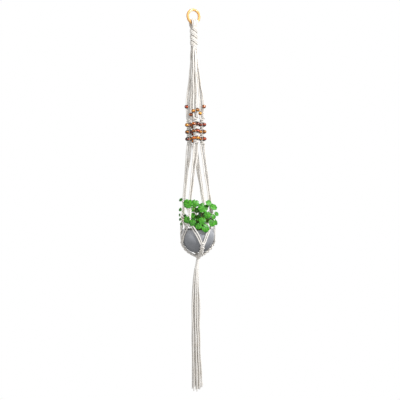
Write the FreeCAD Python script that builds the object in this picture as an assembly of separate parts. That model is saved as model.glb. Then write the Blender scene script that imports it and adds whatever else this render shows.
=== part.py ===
import FreeCAD, Part
import math
import os
from FreeCAD import Vector

# A hanging macrame planter in its own frame, in millimetres. +Z is up, and the origin is the
# highest point inside the ring, where a ceiling hook bears. Two of the pot's four cradle
# sinnets lie on the X axis and two on the Y axis, and -Y is the front.

# ---- driving dimensions ----
CORD_DIAMETER = 3.6
CORD_RADIUS = CORD_DIAMETER / 2
CORD_PITCH = 3.9            # from cord to cord where they lie side by side
RUNNING_GAP = 0.3           # left between pieces that move on each other

RING_TUBE_RADIUS = 3.75
RING_INNER_RADIUS = 14.0
RING_TURN = 14.0            # degrees from the X axis to the ring's plane
RING_RADIUS = RING_INNER_RADIUS + RING_TUBE_RADIUS
RING_CENTRE_Z = -RING_INNER_RADIUS
SWING_AXIS_Z = RING_CENTRE_Z - RING_RADIUS

CROWN_TOP_Z = -39.0
CROWN_BOTTOM_Z = -103.0
CROWN_RADIUS = 10.2
CROWN_WAIST = 1.6           # how much deeper the hollow between two knots is
CROWN_KNOTS = 8
CROWN_MOUTH_RADIUS = 10.9   # where the cords come out
BLOCK_REACH = 6.55          # from the axis to the middle of an arm's four cords in the crown

FACING = -16.0              # degrees from the X axis to the line that the flat bead bands lie along
BEAD_RADIUS = 5.5
BEAD_HEIGHT = 9.4
BEAD_BORE_RADIUS = CORD_RADIUS + RUNNING_GAP
BEAD_OFFSET = 5.75          # from an arm's middle to the cord that carries a bead
FILLER_OFFSET = 2.0         # from an arm's middle to a filler cord, along the band
FILLER_DEPTH = 7.0          # and behind the band
BEAD_ROWS = 3
KNOT_GAP = 0.2
STRAIGHT_TOP_Z = -240.0     # above this the upper cords lean in towards the crown
UPPER_BEND = 8.0            # how far each side of that height their gentle bend reaches
FIRST_KNOT_TOP_Z = -288.0
FIRST_KNOT_HEIGHT = 11.0
KNOT_HEIGHT = 9.4
KNOT_WIDTH = 14.5
KNOT_DEPTH = 11.0

POT_RIM_Z = -592.0
POT_WIDEST_Z = -612.0
POT_BASE_Z = -654.0
POT_RIM_RADIUS = 42.0
POT_WIDEST_RADIUS = 44.0
POT_BASE_RADIUS = 20.0
POT_WALL = 4.0
SOIL_TOP_Z = -604.0
SOIL_GAP = 0.1

RIM_KNOT_REACH = 46.5       # from the axis to the middle of a rim knot
RIM_KNOT_TOP_Z = -558.0
RIM_KNOT_HEIGHT = 13.0
RIM_KNOT_WIDTH = 10.0
SINNET_TOP_Z = -625.0
SINNET_WIDTH = 13.0
SINNET_THICKNESS = 6.4
SINNET_END = 8.2            # from the axis to the end of a sinnet, inside the gathering knot

TASSEL_PIVOT_Z = -668.0
GATHER_TOP_Z = -660.5
GATHER_RADIUS = 9.2
DOME_RADIUS = 8.3
NECK_RADIUS = 5.8
NECK_BOTTOM_Z = -703.0
NECK_BELL_RADIUS = 8.8
NECK_LEAN = 10.0             # degrees, towards -X

LEAF_THICKNESS = 1.0
STEM_RADIUS = 1.0
STEM_SPREAD = 138.0         # degrees from one stem's root to the next
STEM_ROOT_STEP = 5.0
STEM_CLEARANCE = 14.0       # above the rim, where a stem bends outwards

# Each arm's name, the direction of its rim knot, the middle of its bead band (right of the
# axis, behind the axis), how far its knots sit below the highest arm's, the heights of its two
# loose beads, and which rim corner each of its four cords runs to.
ARMS = [
    ("front_left", -135.0, (0.5, -14.0), 0.0, (-269.6, -266.6), (0, 1, 2, 3)),
    ("front_right", -45.0, (17.8, 0.0), 3.0, (-275.6, -257.8), (2, 0, 3, 1)),
    ("back_right", 45.0, (-3.3, 14.0), 8.0, (-276.5, -282.0), (1, 0, 3, 2)),
    ("back_left", 135.0, (-18.2, 0.0), 3.0, (-257.4, -278.9), (1, 3, 0, 2)),
]

# Leaves: right of the axis, behind it, height, radius, the way each one faces as degrees round
# from the front and degrees up, and how far to its right its stalk joins it.
LEAVES = [
    (-25.0, -44.0, -519.0, 13.0, -15.0, 25.0, 10.0),
    (-6.0, -42.0, -519.0, 10.5, 5.0, 15.0, 0.0),
    (15.0, -30.0, -532.0, 13.0, 5.0, 20.0, 0.0),
    (31.0, -29.0, -519.0, 8.5, 20.0, 35.0, 0.0),
    (44.0, -30.0, -530.0, 10.0, 30.0, 40.0, -1.5),
    (27.0, -37.0, -551.0, 9.5, 0.0, 10.0, 0.0),
    (52.0, -4.0, -551.0, 6.5, 40.0, 30.0, 0.0),
    (50.0, -4.0, -574.0, 8.0, 60.0, 10.0, 0.0),
    (21.0, -47.0, -586.0, 11.0, 20.0, 12.0, 0.0),
    (39.0, -37.0, -573.0, 10.0, 35.0, 12.0, 0.0),
    (13.0, -43.0, -566.0, 10.0, 0.0, 25.0, 0.0),
    (2.0, -48.0, -580.0, 8.5, -10.0, 15.0, 0.0),
    (-29.0, -49.5, -562.0, 9.5, -30.0, 10.0, -9.0),
    (-15.0, -24.0, -552.0, 8.0, -10.0, 35.0, 0.0),
    (-14.0, -51.5, -570.5, 9.0, -15.0, 6.0, 3.0),
    (-45.0, -5.0, -510.0, 5.5, -40.0, 40.0, 0.0),
    (-47.0, -6.0, -537.0, 5.5, -50.0, 20.0, 0.0),
    (-49.0, -6.0, -552.0, 4.0, -60.0, 10.0, 0.0),
    (-48.0, -6.0, -564.0, 4.0, -50.0, 10.0, 0.0),
    (-46.0, -6.0, -577.0, 4.5, -60.0, 5.0, 0.0),
    (44.0, -36.0, -556.0, 7.0, 35.0, 15.0, 0.0),
    (-14.0, -12.0, -537.0, 7.0, 0.0, 25.0, 0.0),
    (3.0, -17.0, -560.0, 9.0, 10.0, 20.0, 0.0),
    (24.0, -12.0, -566.0, 9.0, 20.0, 20.0, 0.0),
    (-4.0, 14.0, -540.0, 11.0, 160.0, 35.0, 0.0),
    (14.0, 22.0, -558.0, 10.0, 200.0, 25.0, 0.0),
    (-18.0, 22.0, -566.0, 9.0, 150.0, 25.0, 0.0),
    (2.0, 28.0, -580.0, 9.0, 180.0, 15.0, 0.0),
]

# A tassel cord's points, right of the Z axis (+X) and behind it (+Y) at these heights. A last
# point with three numbers is the cord's own end.
TASSEL_LEVELS = (-703.0, -734.0, -768.0, -810.0, -853.0, -898.0, -943.0, -990.0)
TASSEL_ROUTES = [
    # the left column, front to back
    [(-11.6, -3.8), (-14.5, -3.9), (-17.9, -4.4), (-21.8, -5.0), (-20.9, -5.3),
     (-19.8, -5.6), (-21.8, -6.2), (-20.2, -5.4), (-22.4, -6.8, -1036.0)],
    [(-11.6, 0.0), (-14.7, 0.1), (-17.2, -0.2), (-18.4, 0.4), (-21.2, -0.3),
     (-20.9, 0.6), (-20.0, -0.4), (-22.2, 0.7), (-21.0, 0.0, -1028.0)],
    [(-11.6, 3.8), (-14.6, 3.7), (-17.6, 4.3), (-19.6, 4.9), (-19.8, 4.6),
     (-21.3, 5.8), (-21.0, 5.0), (-21.9, 6.4), (-23.0, 5.8, -1033.0)],
    # the column left of the middle
    [(-7.9, -7.5), (-10.8, -7.7), (-13.1, -8.6), (-13.2, -9.6), (-15.4, -9.4),
     (-13.8, -10.9), (-15.2, -10.6), (-13.0, -12.4), (-14.8, -12.2, -1037.0)],
    [(-7.9, -3.8), (-10.9, -3.8), (-12.6, -4.0), (-14.3, -4.4), (-14.2, -5.3),
     (-15.2, -4.8), (-13.4, -5.9), (-15.4, -5.0), (-13.6, -6.6, -1030.0)],
    [(-7.9, 0.0), (-11.0, -0.1), (-12.9, 0.2), (-13.3, -0.4), (-15.3, 0.5),
     (-14.0, -0.5), (-15.0, 0.6), (-13.1, -0.6), (-14.0, 0.5, -1035.0)],
    [(-7.9, 3.8), (-10.8, 3.9), (-12.5, 4.2), (-14.2, 4.3), (-14.4, 5.3),
     (-15.1, 4.7), (-13.6, 5.9), (-15.2, 5.2), (-14.2, 6.6, -1026.0)],
    [(-7.9, 7.5), (-10.9, 7.7), (-13.0, 8.2), (-13.4, 9.5), (-15.2, 9.4),
     (-13.9, 10.8), (-14.9, 10.6), (-13.2, 12.3), (-14.9, 12.6, -1031.0)],
    # the column right of the middle
    [(-4.1, -7.5), (-7.0, -7.6), (-8.4, -8.6), (-7.7, -8.9), (-9.9, -10.2),
     (-7.8, -10.1), (-8.9, -11.6), (-5.8, -11.2), (-7.9, -12.6, -1029.0)],
    [(-4.1, -3.8), (-7.1, -3.7), (-8.0, -4.3), (-9.0, -4.7), (-8.6, -4.6),
     (-9.4, -5.6), (-6.7, -5.1), (-8.2, -6.3), (-5.4, -5.4, -1034.0)],
    [(-4.1, 0.0), (-7.2, 0.1), (-8.4, -0.2), (-7.9, 0.4), (-9.8, -0.4),
     (-7.7, 0.5), (-8.6, -0.6), (-6.0, 0.4), (-7.6, -0.4, -1027.0)],
    [(-4.1, 3.8), (-7.0, 3.7), (-8.0, 4.4), (-9.0, 4.4), (-8.5, 5.3),
     (-9.3, 4.9), (-7.0, 5.9), (-7.9, 5.3), (-5.6, 6.5, -1036.0)],
    [(-4.1, 7.5), (-7.1, 7.7), (-8.5, 8.6), (-7.8, 9.0), (-9.7, 10.2),
     (-7.9, 10.1), (-8.8, 11.4), (-6.1, 11.2), (-7.4, 12.4, -1032.0)],
    # the right column, whose first cord bows out and whose second curls at its end
    [(-0.4, -3.8), (-3.4, -3.9), (-1.6, -4.5), (1.2, -5.2), (-3.2, -5.3),
     (-1.6, -5.8), (-2.4, -5.2), (1.4, -6.6), (0.6, -6.0, -1028.0)],
    [(-0.4, 0.0), (-3.3, 0.1), (-3.4, -0.2), (-2.4, 0.3), (-4.4, -0.3),
     (-3.2, 0.4), (0.0, -0.4), (-0.8, 0.3), (3.6, -1.2, -1025.0)],
    [(-0.4, 3.8), (-3.1, 3.8), (-3.0, 4.4), (-3.9, 4.5), (-2.8, 5.4),
     (-3.4, 5.0), (-0.4, 6.1), (0.2, 5.5), (-0.4, 7.2, -1034.0)],
]


def facing_point(right, behind, height):
    """The point so far right of the axis and behind it, as seen along the bead bands' front."""
    turn = math.radians(FACING)
    return Vector(right * math.cos(turn) - behind * math.sin(turn),
                  right * math.sin(turn) + behind * math.cos(turn), height)


def polar(direction, reach, height):
    """The point at a distance from the Z axis, in a direction in degrees."""
    angle = math.radians(direction)
    return Vector(reach * math.cos(angle), reach * math.sin(angle), height)


def tube(points, radius, note="", longest_setback=60.0):
    """A round tube along straight runs joined by arcs that touch them."""
    arcs = []
    for before, corner, after in zip(points, points[1:], points[2:]):
        way_in = (corner - before).normalize()
        way_out = (after - corner).normalize()
        half_turn = way_in.getAngle(way_out) / 2
        shorter = min((corner - before).Length, (after - corner).Length)
        setback = min(0.45 * shorter, longest_setback)
        bend = setback / math.tan(half_turn)
        inward = (way_out - way_in).normalize()
        centre = corner + inward * (bend / math.cos(half_turn))
        middle = centre - inward * bend
        arcs.append((corner - way_in * setback, middle, corner + way_out * setback, bend))
    edges = []
    here = points[0]
    for arc_start, middle, arc_end, bend in arcs:
        edges.append(Part.LineSegment(here, arc_start).toShape())
        edges.append(Part.Arc(arc_start, middle, arc_end).toShape())
        here = arc_end
    edges.append(Part.LineSegment(here, points[-1]).toShape())
    path = Part.Wire(edges)
    ring = Part.Circle(points[0], points[1] - points[0], radius).toShape()
    solid = path.makePipeShell([Part.Wire([ring])], True, False)
    if note:
        bends = ", ".join(f"{bend:.0f}" for *_, bend in arcs)
        filled = solid.Volume / (math.pi * radius ** 2 * path.Length)
        print(f"{note}: length {path.Length:.1f}, volume {filled:.4f} of section times length, radii {bends}")
    return solid


def rod(start, end, radius):
    """A straight round rod."""
    return Part.makeCylinder(radius, (end - start).Length, start, end - start)


def block(centre, width, depth, height, direction, fillet):
    """A rounded knot body, its width along a direction in degrees about Z."""
    corner = Vector(-width / 2, -depth / 2, -height / 2)
    body = Part.makeBox(width, depth, height, corner)
    body = body.makeFillet(fillet, body.Edges)
    body.rotate(Vector(0, 0, 0), Vector(0, 0, 1), direction)
    body.translate(centre)
    return body


def revolved(outline):
    """A solid turned about the Z axis from edges in the XZ plane."""
    face = Part.Face(Part.Wire(outline))
    return face.revolve(Vector(0, 0, 0), Vector(0, 0, 1), 360)


def line(start, end):
    """A straight edge between two (x, z) points in the XZ plane."""
    return Part.LineSegment(Vector(start[0], 0, start[1]), Vector(end[0], 0, end[1])).toShape()


def arc(start, middle, end):
    """An arc through three (x, z) points in the XZ plane."""
    places = [Vector(x, 0, z) for x, z in (start, middle, end)]
    return Part.Arc(*places).toShape()


def turned_copy(shape, degrees):
    """A copy turned about the Z axis."""
    copy = shape.copy()
    copy.rotate(Vector(0, 0, 0), Vector(0, 0, 1), degrees)
    return copy


def save(name, *shapes):
    """Write one sub-part, as one solid or as a group of separate ones."""
    solids = [solid for shape in shapes for solid in shape.Solids]
    result = solids[0] if len(solids) == 1 else Part.makeCompound(solids)
    result.exportStep(f"parts/{name}.step")
    print(f"{name}: {len(solids)} solids, {result.Volume / 1000:.2f} cm3, valid {result.isValid()}")


# ---- the ring and the cords folded over it ----
def make_ring():
    ring = Part.makeTorus(RING_RADIUS, RING_TUBE_RADIUS, Vector(0, 0, 0), Vector(0, 1, 0))
    ring.rotate(Vector(0, 0, 0), Vector(0, 0, 1), RING_TURN)
    ring.translate(Vector(0, 0, RING_CENTRE_Z))
    return ring


def loop_reach(offset):
    """How far a cord's middle stays from the swing axis to clear the ring, beside its bottom."""
    slope = math.asin((abs(offset) + CORD_RADIUS / 2) / RING_RADIUS)
    rise = RING_RADIUS * (1 - math.cos(slope))
    return rise + RING_TUBE_RADIUS / math.cos(slope) + RUNNING_GAP + CORD_RADIUS


def make_loop(offset, reach):
    """One cord folded over the ring's bottom, with its two legs down to the crown."""
    top = arc((-reach, 0), (0, reach), (reach, 0))
    left = line((-reach, CROWN_TOP_Z - SWING_AXIS_Z), (-reach, 0))
    right = line((reach, 0), (reach, CROWN_TOP_Z - SWING_AXIS_Z))
    path = Part.Wire([left, top, right])
    foot = Vector(-reach, 0, CROWN_TOP_Z - SWING_AXIS_Z)
    section = Part.Circle(foot, Vector(0, 0, 1), CORD_RADIUS).toShape()
    loop = path.makePipeShell([Part.Wire([section])], True, False)
    loop.translate(Vector(0, offset, 0))
    loop.rotate(Vector(0, 0, 0), Vector(0, 0, 1), RING_TURN - 90)
    loop.translate(Vector(0, 0, SWING_AXIS_Z))
    return loop


def make_ring_loops():
    loops = [make_loop(step * CORD_PITCH, loop_reach(step * CORD_PITCH)) for step in range(-2, 3)]
    for step in (-1, 0, 1):
        over = loop_reach(step * CORD_PITCH) + CORD_DIAMETER + 0.1
        loops.append(make_loop(step * CORD_PITCH, over))
    return loops


def make_crown():
    """The knotted sinnet under the ring: one rounded swelling for each knot."""
    pitch = (CROWN_TOP_Z - CROWN_BOTTOM_Z) / CROWN_KNOTS
    waist = CROWN_RADIUS - CROWN_WAIST
    outline = [line((0, CROWN_BOTTOM_Z), (0, CROWN_TOP_Z)), line((0, CROWN_TOP_Z), (waist, CROWN_TOP_Z))]
    for knot in range(CROWN_KNOTS):
        top = CROWN_TOP_Z - knot * pitch
        bulge = CROWN_RADIUS + (CROWN_WAIST if knot == 0 else 0)
        end = CROWN_MOUTH_RADIUS if knot == CROWN_KNOTS - 1 else waist
        outline.append(arc((waist, top), (bulge, top - pitch / 2), (end, top - pitch)))
    outline.append(line((CROWN_MOUTH_RADIUS, CROWN_BOTTOM_Z), (0, CROWN_BOTTOM_Z)))
    return revolved(outline)


# ---- the four arms ----
class Arm:
    """The places of one arm's four cords, in the crown, in its bead band and at its rim knot."""

    def __init__(self, name, rim_direction, middle, drop, loose_heights, rim_order):
        self.name = name
        self.rim_direction = rim_direction
        self.middle = middle
        self.drop = drop
        self.loose_heights = loose_heights
        self.rim_order = rim_order
        self.first_top = FIRST_KNOT_TOP_Z - drop
        right, behind = middle
        self.band = [(right - BEAD_OFFSET, behind), (right + BEAD_OFFSET, behind)]
        inward = -1 if behind > 0 else 1
        for side in (-1, 1):
            self.band.append((right + side * FILLER_OFFSET, behind + inward * FILLER_DEPTH))

    def crown_places(self):
        """Where the four cords leave the crown: two by two, towards this arm's side."""
        right, behind = self.middle
        half = CORD_PITCH / 2
        if abs(behind) > abs(right):
            side = math.copysign(1, behind)
            outer = side * (BLOCK_REACH + half)
            inner = side * (BLOCK_REACH - half)
            return [(-half, outer), (half, outer), (-half, inner), (half, inner)]
        side = math.copysign(1, right)
        outer = side * (BLOCK_REACH + half)
        inner = side * (BLOCK_REACH - half)
        low, high = sorted((outer, inner))
        return [(low, -half), (high, -half), (low, half), (high, half)]

    def rim_corners(self):
        """The four cords' places at the rim knot's top: two outside, then two inside."""
        half = CORD_PITCH / 2
        spread = math.degrees(half / RIM_KNOT_REACH)
        corners = [(-spread, half), (spread, half), (-spread, -half), (spread, -half)]
        places = []
        for corner in self.rim_order:
            sideways, outward = corners[corner]
            height = RIM_KNOT_TOP_Z - 2
            places.append(polar(self.rim_direction + sideways, RIM_KNOT_REACH + outward, height))
        return places

    def knot_centres(self):
        """The middle heights of the arm's knots, and their heights."""
        centres = [(self.first_top - FIRST_KNOT_HEIGHT / 2, FIRST_KNOT_HEIGHT)]
        top = self.first_top - FIRST_KNOT_HEIGHT
        for _ in range(BEAD_ROWS):
            top -= BEAD_HEIGHT + 2 * KNOT_GAP
            centres.append((top - KNOT_HEIGHT / 2, KNOT_HEIGHT))
            top -= KNOT_HEIGHT
        return centres

    def bottom(self):
        """The height of the lowest knot's underside."""
        centre, height = self.knot_centres()[-1]
        return centre - height / 2

    def bead_heights(self):
        """The middle heights of the bead rows that the knots hold."""
        return [centre - height / 2 - KNOT_GAP - BEAD_HEIGHT / 2
                for centre, height in self.knot_centres()[:-1]]


def make_knots(arm):
    """The arm's square knots, and the cords that run down through them and the beads."""
    right, behind = arm.middle
    inward = -1 if behind > 0 else 1
    middle_behind = behind + inward * FILLER_DEPTH / 2
    knots = []
    for centre, height in arm.knot_centres():
        place = facing_point(right, middle_behind, centre)
        knots.append(block(place, KNOT_WIDTH, KNOT_DEPTH, height, FACING, 2.4))
    top = arm.knot_centres()[0][0]
    low = arm.knot_centres()[-1][0]
    cords = [rod(facing_point(*place, top), facing_point(*place, low), CORD_RADIUS) for place in arm.band]
    return knots[0].fuse(knots[1:] + cords).removeSplitter()


def make_bead(place, height):
    """A turned wooden bead with flat ends and a bore."""
    centre = facing_point(*place, height)
    ball = Part.makeSphere(BEAD_RADIUS, centre)
    slab = Part.makeCylinder(2 * BEAD_RADIUS, BEAD_HEIGHT, centre - Vector(0, 0, BEAD_HEIGHT / 2))
    bore = Part.makeCylinder(BEAD_BORE_RADIUS, 2 * BEAD_HEIGHT, centre - Vector(0, 0, BEAD_HEIGHT))
    return ball.common(slab).cut(bore)


def make_upper_cords(arm, core, crown):
    """Four cords from the crown to the arm's first knot, straight where the loose beads slide."""
    cords = []
    for start, end in zip(arm.crown_places(), arm.band):
        points = [facing_point(*start, CROWN_BOTTOM_Z + 2), facing_point(*end, STRAIGHT_TOP_Z),
                  facing_point(*end, arm.first_top - 3)]
        cord = tube(points, CORD_RADIUS, longest_setback=UPPER_BEND)
        cords.append(cord.cut(core).cut(crown))
    return cords


def make_lower_cords(arm, core, rim_knot):
    """Four cords, pulled straight by the pot's weight, from the last knot to the rim knot."""
    cords = []
    for place, end in zip(arm.band, arm.rim_corners()):
        start = facing_point(*place, arm.bottom() + 2)
        cords.append(rod(start, end, CORD_RADIUS).cut(core).cut(rim_knot))
    return cords


# ---- the net that holds the pot ----
def make_rim_knot(direction):
    centre = polar(direction, RIM_KNOT_REACH, RIM_KNOT_TOP_Z - RIM_KNOT_HEIGHT / 2)
    return block(centre, RIM_KNOT_WIDTH, RIM_KNOT_WIDTH, RIM_KNOT_HEIGHT, direction, 2.4)


def belly_radius():
    """The radius of the arc from the pot's widest circle down to its base."""
    step = POT_WIDEST_RADIUS - POT_BASE_RADIUS
    drop = POT_WIDEST_Z - POT_BASE_Z
    return (step ** 2 + drop ** 2) / (2 * step)


def belly_point(offset, height):
    """The (x, z) point at a height, on the pot's lower arc moved outwards by an offset."""
    radius = belly_radius() + offset
    centre = POT_WIDEST_RADIUS - belly_radius()
    return (centre + math.sqrt(radius ** 2 - (POT_WIDEST_Z - height) ** 2), height)


def make_net_cords(direction, rim_knots, sinnet):
    """The two cord pairs that come down from two rim knots to one cradle sinnet."""
    reach = belly_point(SINNET_THICKNESS / 2 + 0.4, SINNET_TOP_Z)[0]
    leave = 45 - math.degrees(CORD_PITCH / 2 / RIM_KNOT_REACH)
    half = CORD_PITCH / 2
    start_z = RIM_KNOT_TOP_Z - RIM_KNOT_HEIGHT + 3
    upper = [(leave, RIM_KNOT_REACH + half, start_z), (27.0, 47.6, -585.0), (12.0, 47.0, -606.0),
             (2.5, reach, -627.0)]
    lower = [(leave, RIM_KNOT_REACH - half, start_z), (34.5, 45.0, -588.0), (18.8, 46.6, -608.0),
             (8.0, reach, -628.0)]
    cords = []
    for side in (-1, 1):
        for route in (upper, lower):
            points = [polar(direction + side * angle, reach, height) for angle, reach, height in route]
            cord = tube(points, CORD_RADIUS).cut(sinnet)
            for knot in rim_knots:
                cord = cord.cut(knot)
            cords.append(cord)
    return cords


def make_sinnet(direction, gathering):
    """A flat knotted sinnet that follows the pot's side down to the gathering knot."""
    offset = SINNET_THICKNESS / 2 + 0.4
    top = belly_point(offset, SINNET_TOP_Z)
    middle = belly_point(offset, -643.0)
    low_x = POT_WIDEST_RADIUS - belly_radius()
    span = math.atan2(POT_WIDEST_Z - POT_BASE_Z, POT_BASE_RADIUS - low_x)
    radius = belly_radius() + offset
    low = (low_x + radius * math.cos(span), POT_WIDEST_Z - radius * math.sin(span))
    run = (low[0] - SINNET_END) / math.sin(span)
    end = (low[0] - run * math.sin(span), low[1] - run * math.cos(span))
    path = Part.Wire([arc(top, middle, low), line(low, end)])
    section = Part.makePlane(SINNET_WIDTH, SINNET_THICKNESS,
                             Vector(-SINNET_THICKNESS / 2, SINNET_WIDTH / 2, 0), Vector(0, 0, 1), Vector(0, -1, 0))
    section = section.OuterWire
    tilt = math.degrees(math.asin((POT_WIDEST_Z - SINNET_TOP_Z) / radius))
    section.rotate(Vector(0, 0, 0), Vector(0, 1, 0), tilt)
    section.translate(Vector(top[0], 0, top[1]))
    strap = path.makePipeShell([section], True, False)
    return turned_copy(strap, direction).cut(gathering)


def make_gathering_knot():
    """The knot that gathers all the cords, with a round underside for the tassel to swing on."""
    low = TASSEL_PIVOT_Z - DOME_RADIUS
    rounded = DOME_RADIUS * math.sqrt(0.5)
    outline = [
        line((0, low), (0, GATHER_TOP_Z)),
        line((0, GATHER_TOP_Z), (GATHER_RADIUS - 2, GATHER_TOP_Z)),
        arc((GATHER_RADIUS - 2, GATHER_TOP_Z), (GATHER_RADIUS, GATHER_TOP_Z - 4), (DOME_RADIUS, TASSEL_PIVOT_Z)),
        arc((DOME_RADIUS, TASSEL_PIVOT_Z), (rounded, TASSEL_PIVOT_Z - rounded), (0, low)),
    ]
    return revolved(outline)


# ---- the tassel ----
def make_neck():
    """The tight bunch under the gathering knot, leaning a little, cupped to swing on the knot."""
    outline = [
        line((0, TASSEL_PIVOT_Z), (NECK_RADIUS, TASSEL_PIVOT_Z)),
        line((NECK_RADIUS, TASSEL_PIVOT_Z), (NECK_RADIUS, NECK_BOTTOM_Z + 14)),
        line((NECK_RADIUS, NECK_BOTTOM_Z + 14), (NECK_BELL_RADIUS, NECK_BOTTOM_Z)),
        line((NECK_BELL_RADIUS, NECK_BOTTOM_Z), (0, NECK_BOTTOM_Z)),
        line((0, NECK_BOTTOM_Z), (0, TASSEL_PIVOT_Z)),
    ]
    neck = revolved(outline)
    pivot = Vector(0, 0, TASSEL_PIVOT_Z)
    neck.rotate(pivot, Vector(0, 1, 0), NECK_LEAN)
    return neck.cut(Part.makeSphere(DOME_RADIUS + RUNNING_GAP, pivot))


def make_tassel_cord(number, route, neck):
    points = [Vector(x, y, level) for (x, y), level in zip(route[:-1], TASSEL_LEVELS)]
    points.append(Vector(*route[-1]))
    return tube(points, CORD_RADIUS, f"tassel_cord_{number:02d}").cut(neck)


# ---- the pot and what grows in it ----
def pot_outline(offset, top_z, bottom_z):
    """The pot's outer curve from a height down to a lower one, moved in by a wall thickness."""
    rim_x = POT_RIM_RADIUS - offset
    widest_x = POT_WIDEST_RADIUS - offset
    base = belly_point(-offset, bottom_z)
    waist = ((rim_x + widest_x) / 2 + 0.4, (POT_RIM_Z + POT_WIDEST_Z) / 2)
    middle = belly_point(-offset, (POT_WIDEST_Z + bottom_z) / 2)
    upper = arc((rim_x, POT_RIM_Z), waist, (widest_x, POT_WIDEST_Z))
    lower = arc((widest_x, POT_WIDEST_Z), middle, base)
    return [upper, lower], (rim_x, POT_RIM_Z), base


def make_pot():
    outer, outer_rim, base = pot_outline(0, POT_RIM_Z, POT_BASE_Z)
    inner, inner_rim, floor = pot_outline(POT_WALL, POT_RIM_Z, POT_BASE_Z + POT_WALL + 1)
    body = outer + [line(base, (0, base[1])), line((0, base[1]), (0, POT_RIM_Z)), line((0, POT_RIM_Z), outer_rim)]
    hollow = inner + [line(floor, (0, floor[1])), line((0, floor[1]), (0, POT_RIM_Z)),
                      line((0, POT_RIM_Z), inner_rim)]
    pot = revolved(body).cut(revolved(hollow))
    rim_edges = [edge for edge in pot.Edges if edge.BoundBox.ZMin > POT_RIM_Z - 0.01]
    return pot.makeFillet(1.6, rim_edges)


def make_soil():
    inner, inner_rim, floor = pot_outline(POT_WALL + SOIL_GAP, POT_RIM_Z, POT_BASE_Z + POT_WALL + 1 + SOIL_GAP)
    fill = inner + [line(floor, (0, floor[1])), line((0, floor[1]), (0, POT_RIM_Z)),
                    line((0, POT_RIM_Z), inner_rim)]
    above = Part.makeCylinder(2 * POT_RIM_RADIUS, 50, Vector(0, 0, SOIL_TOP_Z))
    return revolved(fill).cut(above)


def make_leaf(leaf):
    right, behind, height, radius, round_by, up_by, _ = leaf
    centre = facing_point(right, behind, height)
    disc = Part.makeCylinder(radius, LEAF_THICKNESS, Vector(0, 0, -LEAF_THICKNESS / 2))
    disc.rotate(Vector(0, 0, 0), Vector(1, 0, 0), 90 - up_by)
    disc.rotate(Vector(0, 0, 0), Vector(0, 0, 1), FACING + round_by)
    disc.translate(centre)
    return disc


def make_stem(number, leaf):
    """A petiole from the soil, up past the pot's rim, to where it joins its leaf."""
    right, behind, height, _, round_by, _, aside = leaf
    end = facing_point(right, behind, height) + polar(FACING + round_by, aside, 0)
    root = polar(number * STEM_SPREAD, STEM_ROOT_STEP * (1 + number % 3), SOIL_TOP_Z - 4)
    over_rim = max((root.z + end.z) / 2, POT_RIM_Z + STEM_CLEARANCE)
    rise = Vector(0.3 * end.x + 0.7 * root.x, 0.3 * end.y + 0.7 * root.y, over_rim)
    return tube([root, rise, end], STEM_RADIUS)


os.makedirs("parts", exist_ok=True)

arms = [Arm(*values) for values in ARMS]
rim_knots = [make_rim_knot(arm.rim_direction) for arm in arms]
gathering = make_gathering_knot()
neck = make_neck()

save("hanging_ring", make_ring())
save("ring_loops", *make_ring_loops())
crown = make_crown()
save("crown_sinnet", crown)
for arm, rim_knot in zip(arms, rim_knots):
    core = make_knots(arm)
    save(f"{arm.name}_upper_cords", *make_upper_cords(arm, core, crown))
    save(f"{arm.name}_knots", core)
    held = [make_bead(place, height) for height in arm.bead_heights() for place in arm.band[:2]]
    save(f"{arm.name}_beads", *held)
    for number, (place, height) in enumerate(zip(arm.band, arm.loose_heights), 1):
        save(f"{arm.name}_loose_bead_{number}", make_bead(place, height))
    save(f"{arm.name}_lower_cords", *make_lower_cords(arm, core, rim_knot))
save("rim_knots", *rim_knots)
for side, direction in (("front", -90), ("right", 0), ("back", 90), ("left", 180)):
    sinnet = make_sinnet(direction, gathering)
    save(f"{side}_sinnet", sinnet)
    save(f"{side}_net_cords", *make_net_cords(direction, rim_knots, sinnet))
save("gathering_knot", gathering)
save("tassel_neck", neck)
for number, route in enumerate(TASSEL_ROUTES, 1):
    save(f"tassel_cord_{number:02d}", make_tassel_cord(number, route, neck))
save("pot", make_pot())
save("soil", make_soil())
stems = [make_stem(number, leaf) for number, leaf in enumerate(LEAVES)]
save("plant_stems", stems[0].fuse(stems[1:]))
save("leaves", *[make_leaf(leaf) for leaf in LEAVES])
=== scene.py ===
import math
import random

import bpy
import numpy as np
from mathutils import Matrix, Vector


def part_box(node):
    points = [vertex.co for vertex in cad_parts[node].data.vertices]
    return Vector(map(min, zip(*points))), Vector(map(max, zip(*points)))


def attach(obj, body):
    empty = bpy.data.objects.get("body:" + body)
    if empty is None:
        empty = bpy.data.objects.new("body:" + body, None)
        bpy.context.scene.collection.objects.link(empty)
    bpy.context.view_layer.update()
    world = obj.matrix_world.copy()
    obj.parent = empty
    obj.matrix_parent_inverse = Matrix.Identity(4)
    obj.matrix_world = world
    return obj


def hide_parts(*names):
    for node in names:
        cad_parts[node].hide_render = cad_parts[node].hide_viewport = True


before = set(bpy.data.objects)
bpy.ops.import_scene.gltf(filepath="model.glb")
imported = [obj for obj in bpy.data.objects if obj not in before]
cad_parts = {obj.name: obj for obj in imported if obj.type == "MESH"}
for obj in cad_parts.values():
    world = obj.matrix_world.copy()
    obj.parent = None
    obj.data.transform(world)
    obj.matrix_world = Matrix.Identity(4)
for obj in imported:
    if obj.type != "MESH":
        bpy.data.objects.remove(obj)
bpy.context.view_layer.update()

# ---- the cord ----
CORD_DIAMETER = 0.0036
CORD_RADIUS = CORD_DIAMETER / 2
CORD_PITCH = 0.0039            # from cord to cord where they lie side by side
STRANDS = 3
STRAND_SHARE = 0.52            # a strand's radius, and its distance from the cord's middle, of CORD_RADIUS
LAY = 0.0115                   # the length in which a strand turns once round
STRAND_SIDES = 7
STEP = 0.00125                 # between the rings of a strand's mesh
GROOVE_SHADE = 0.55                  # where a strand's surface is painted darkest as shade between the strands, of the cord's radius
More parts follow.
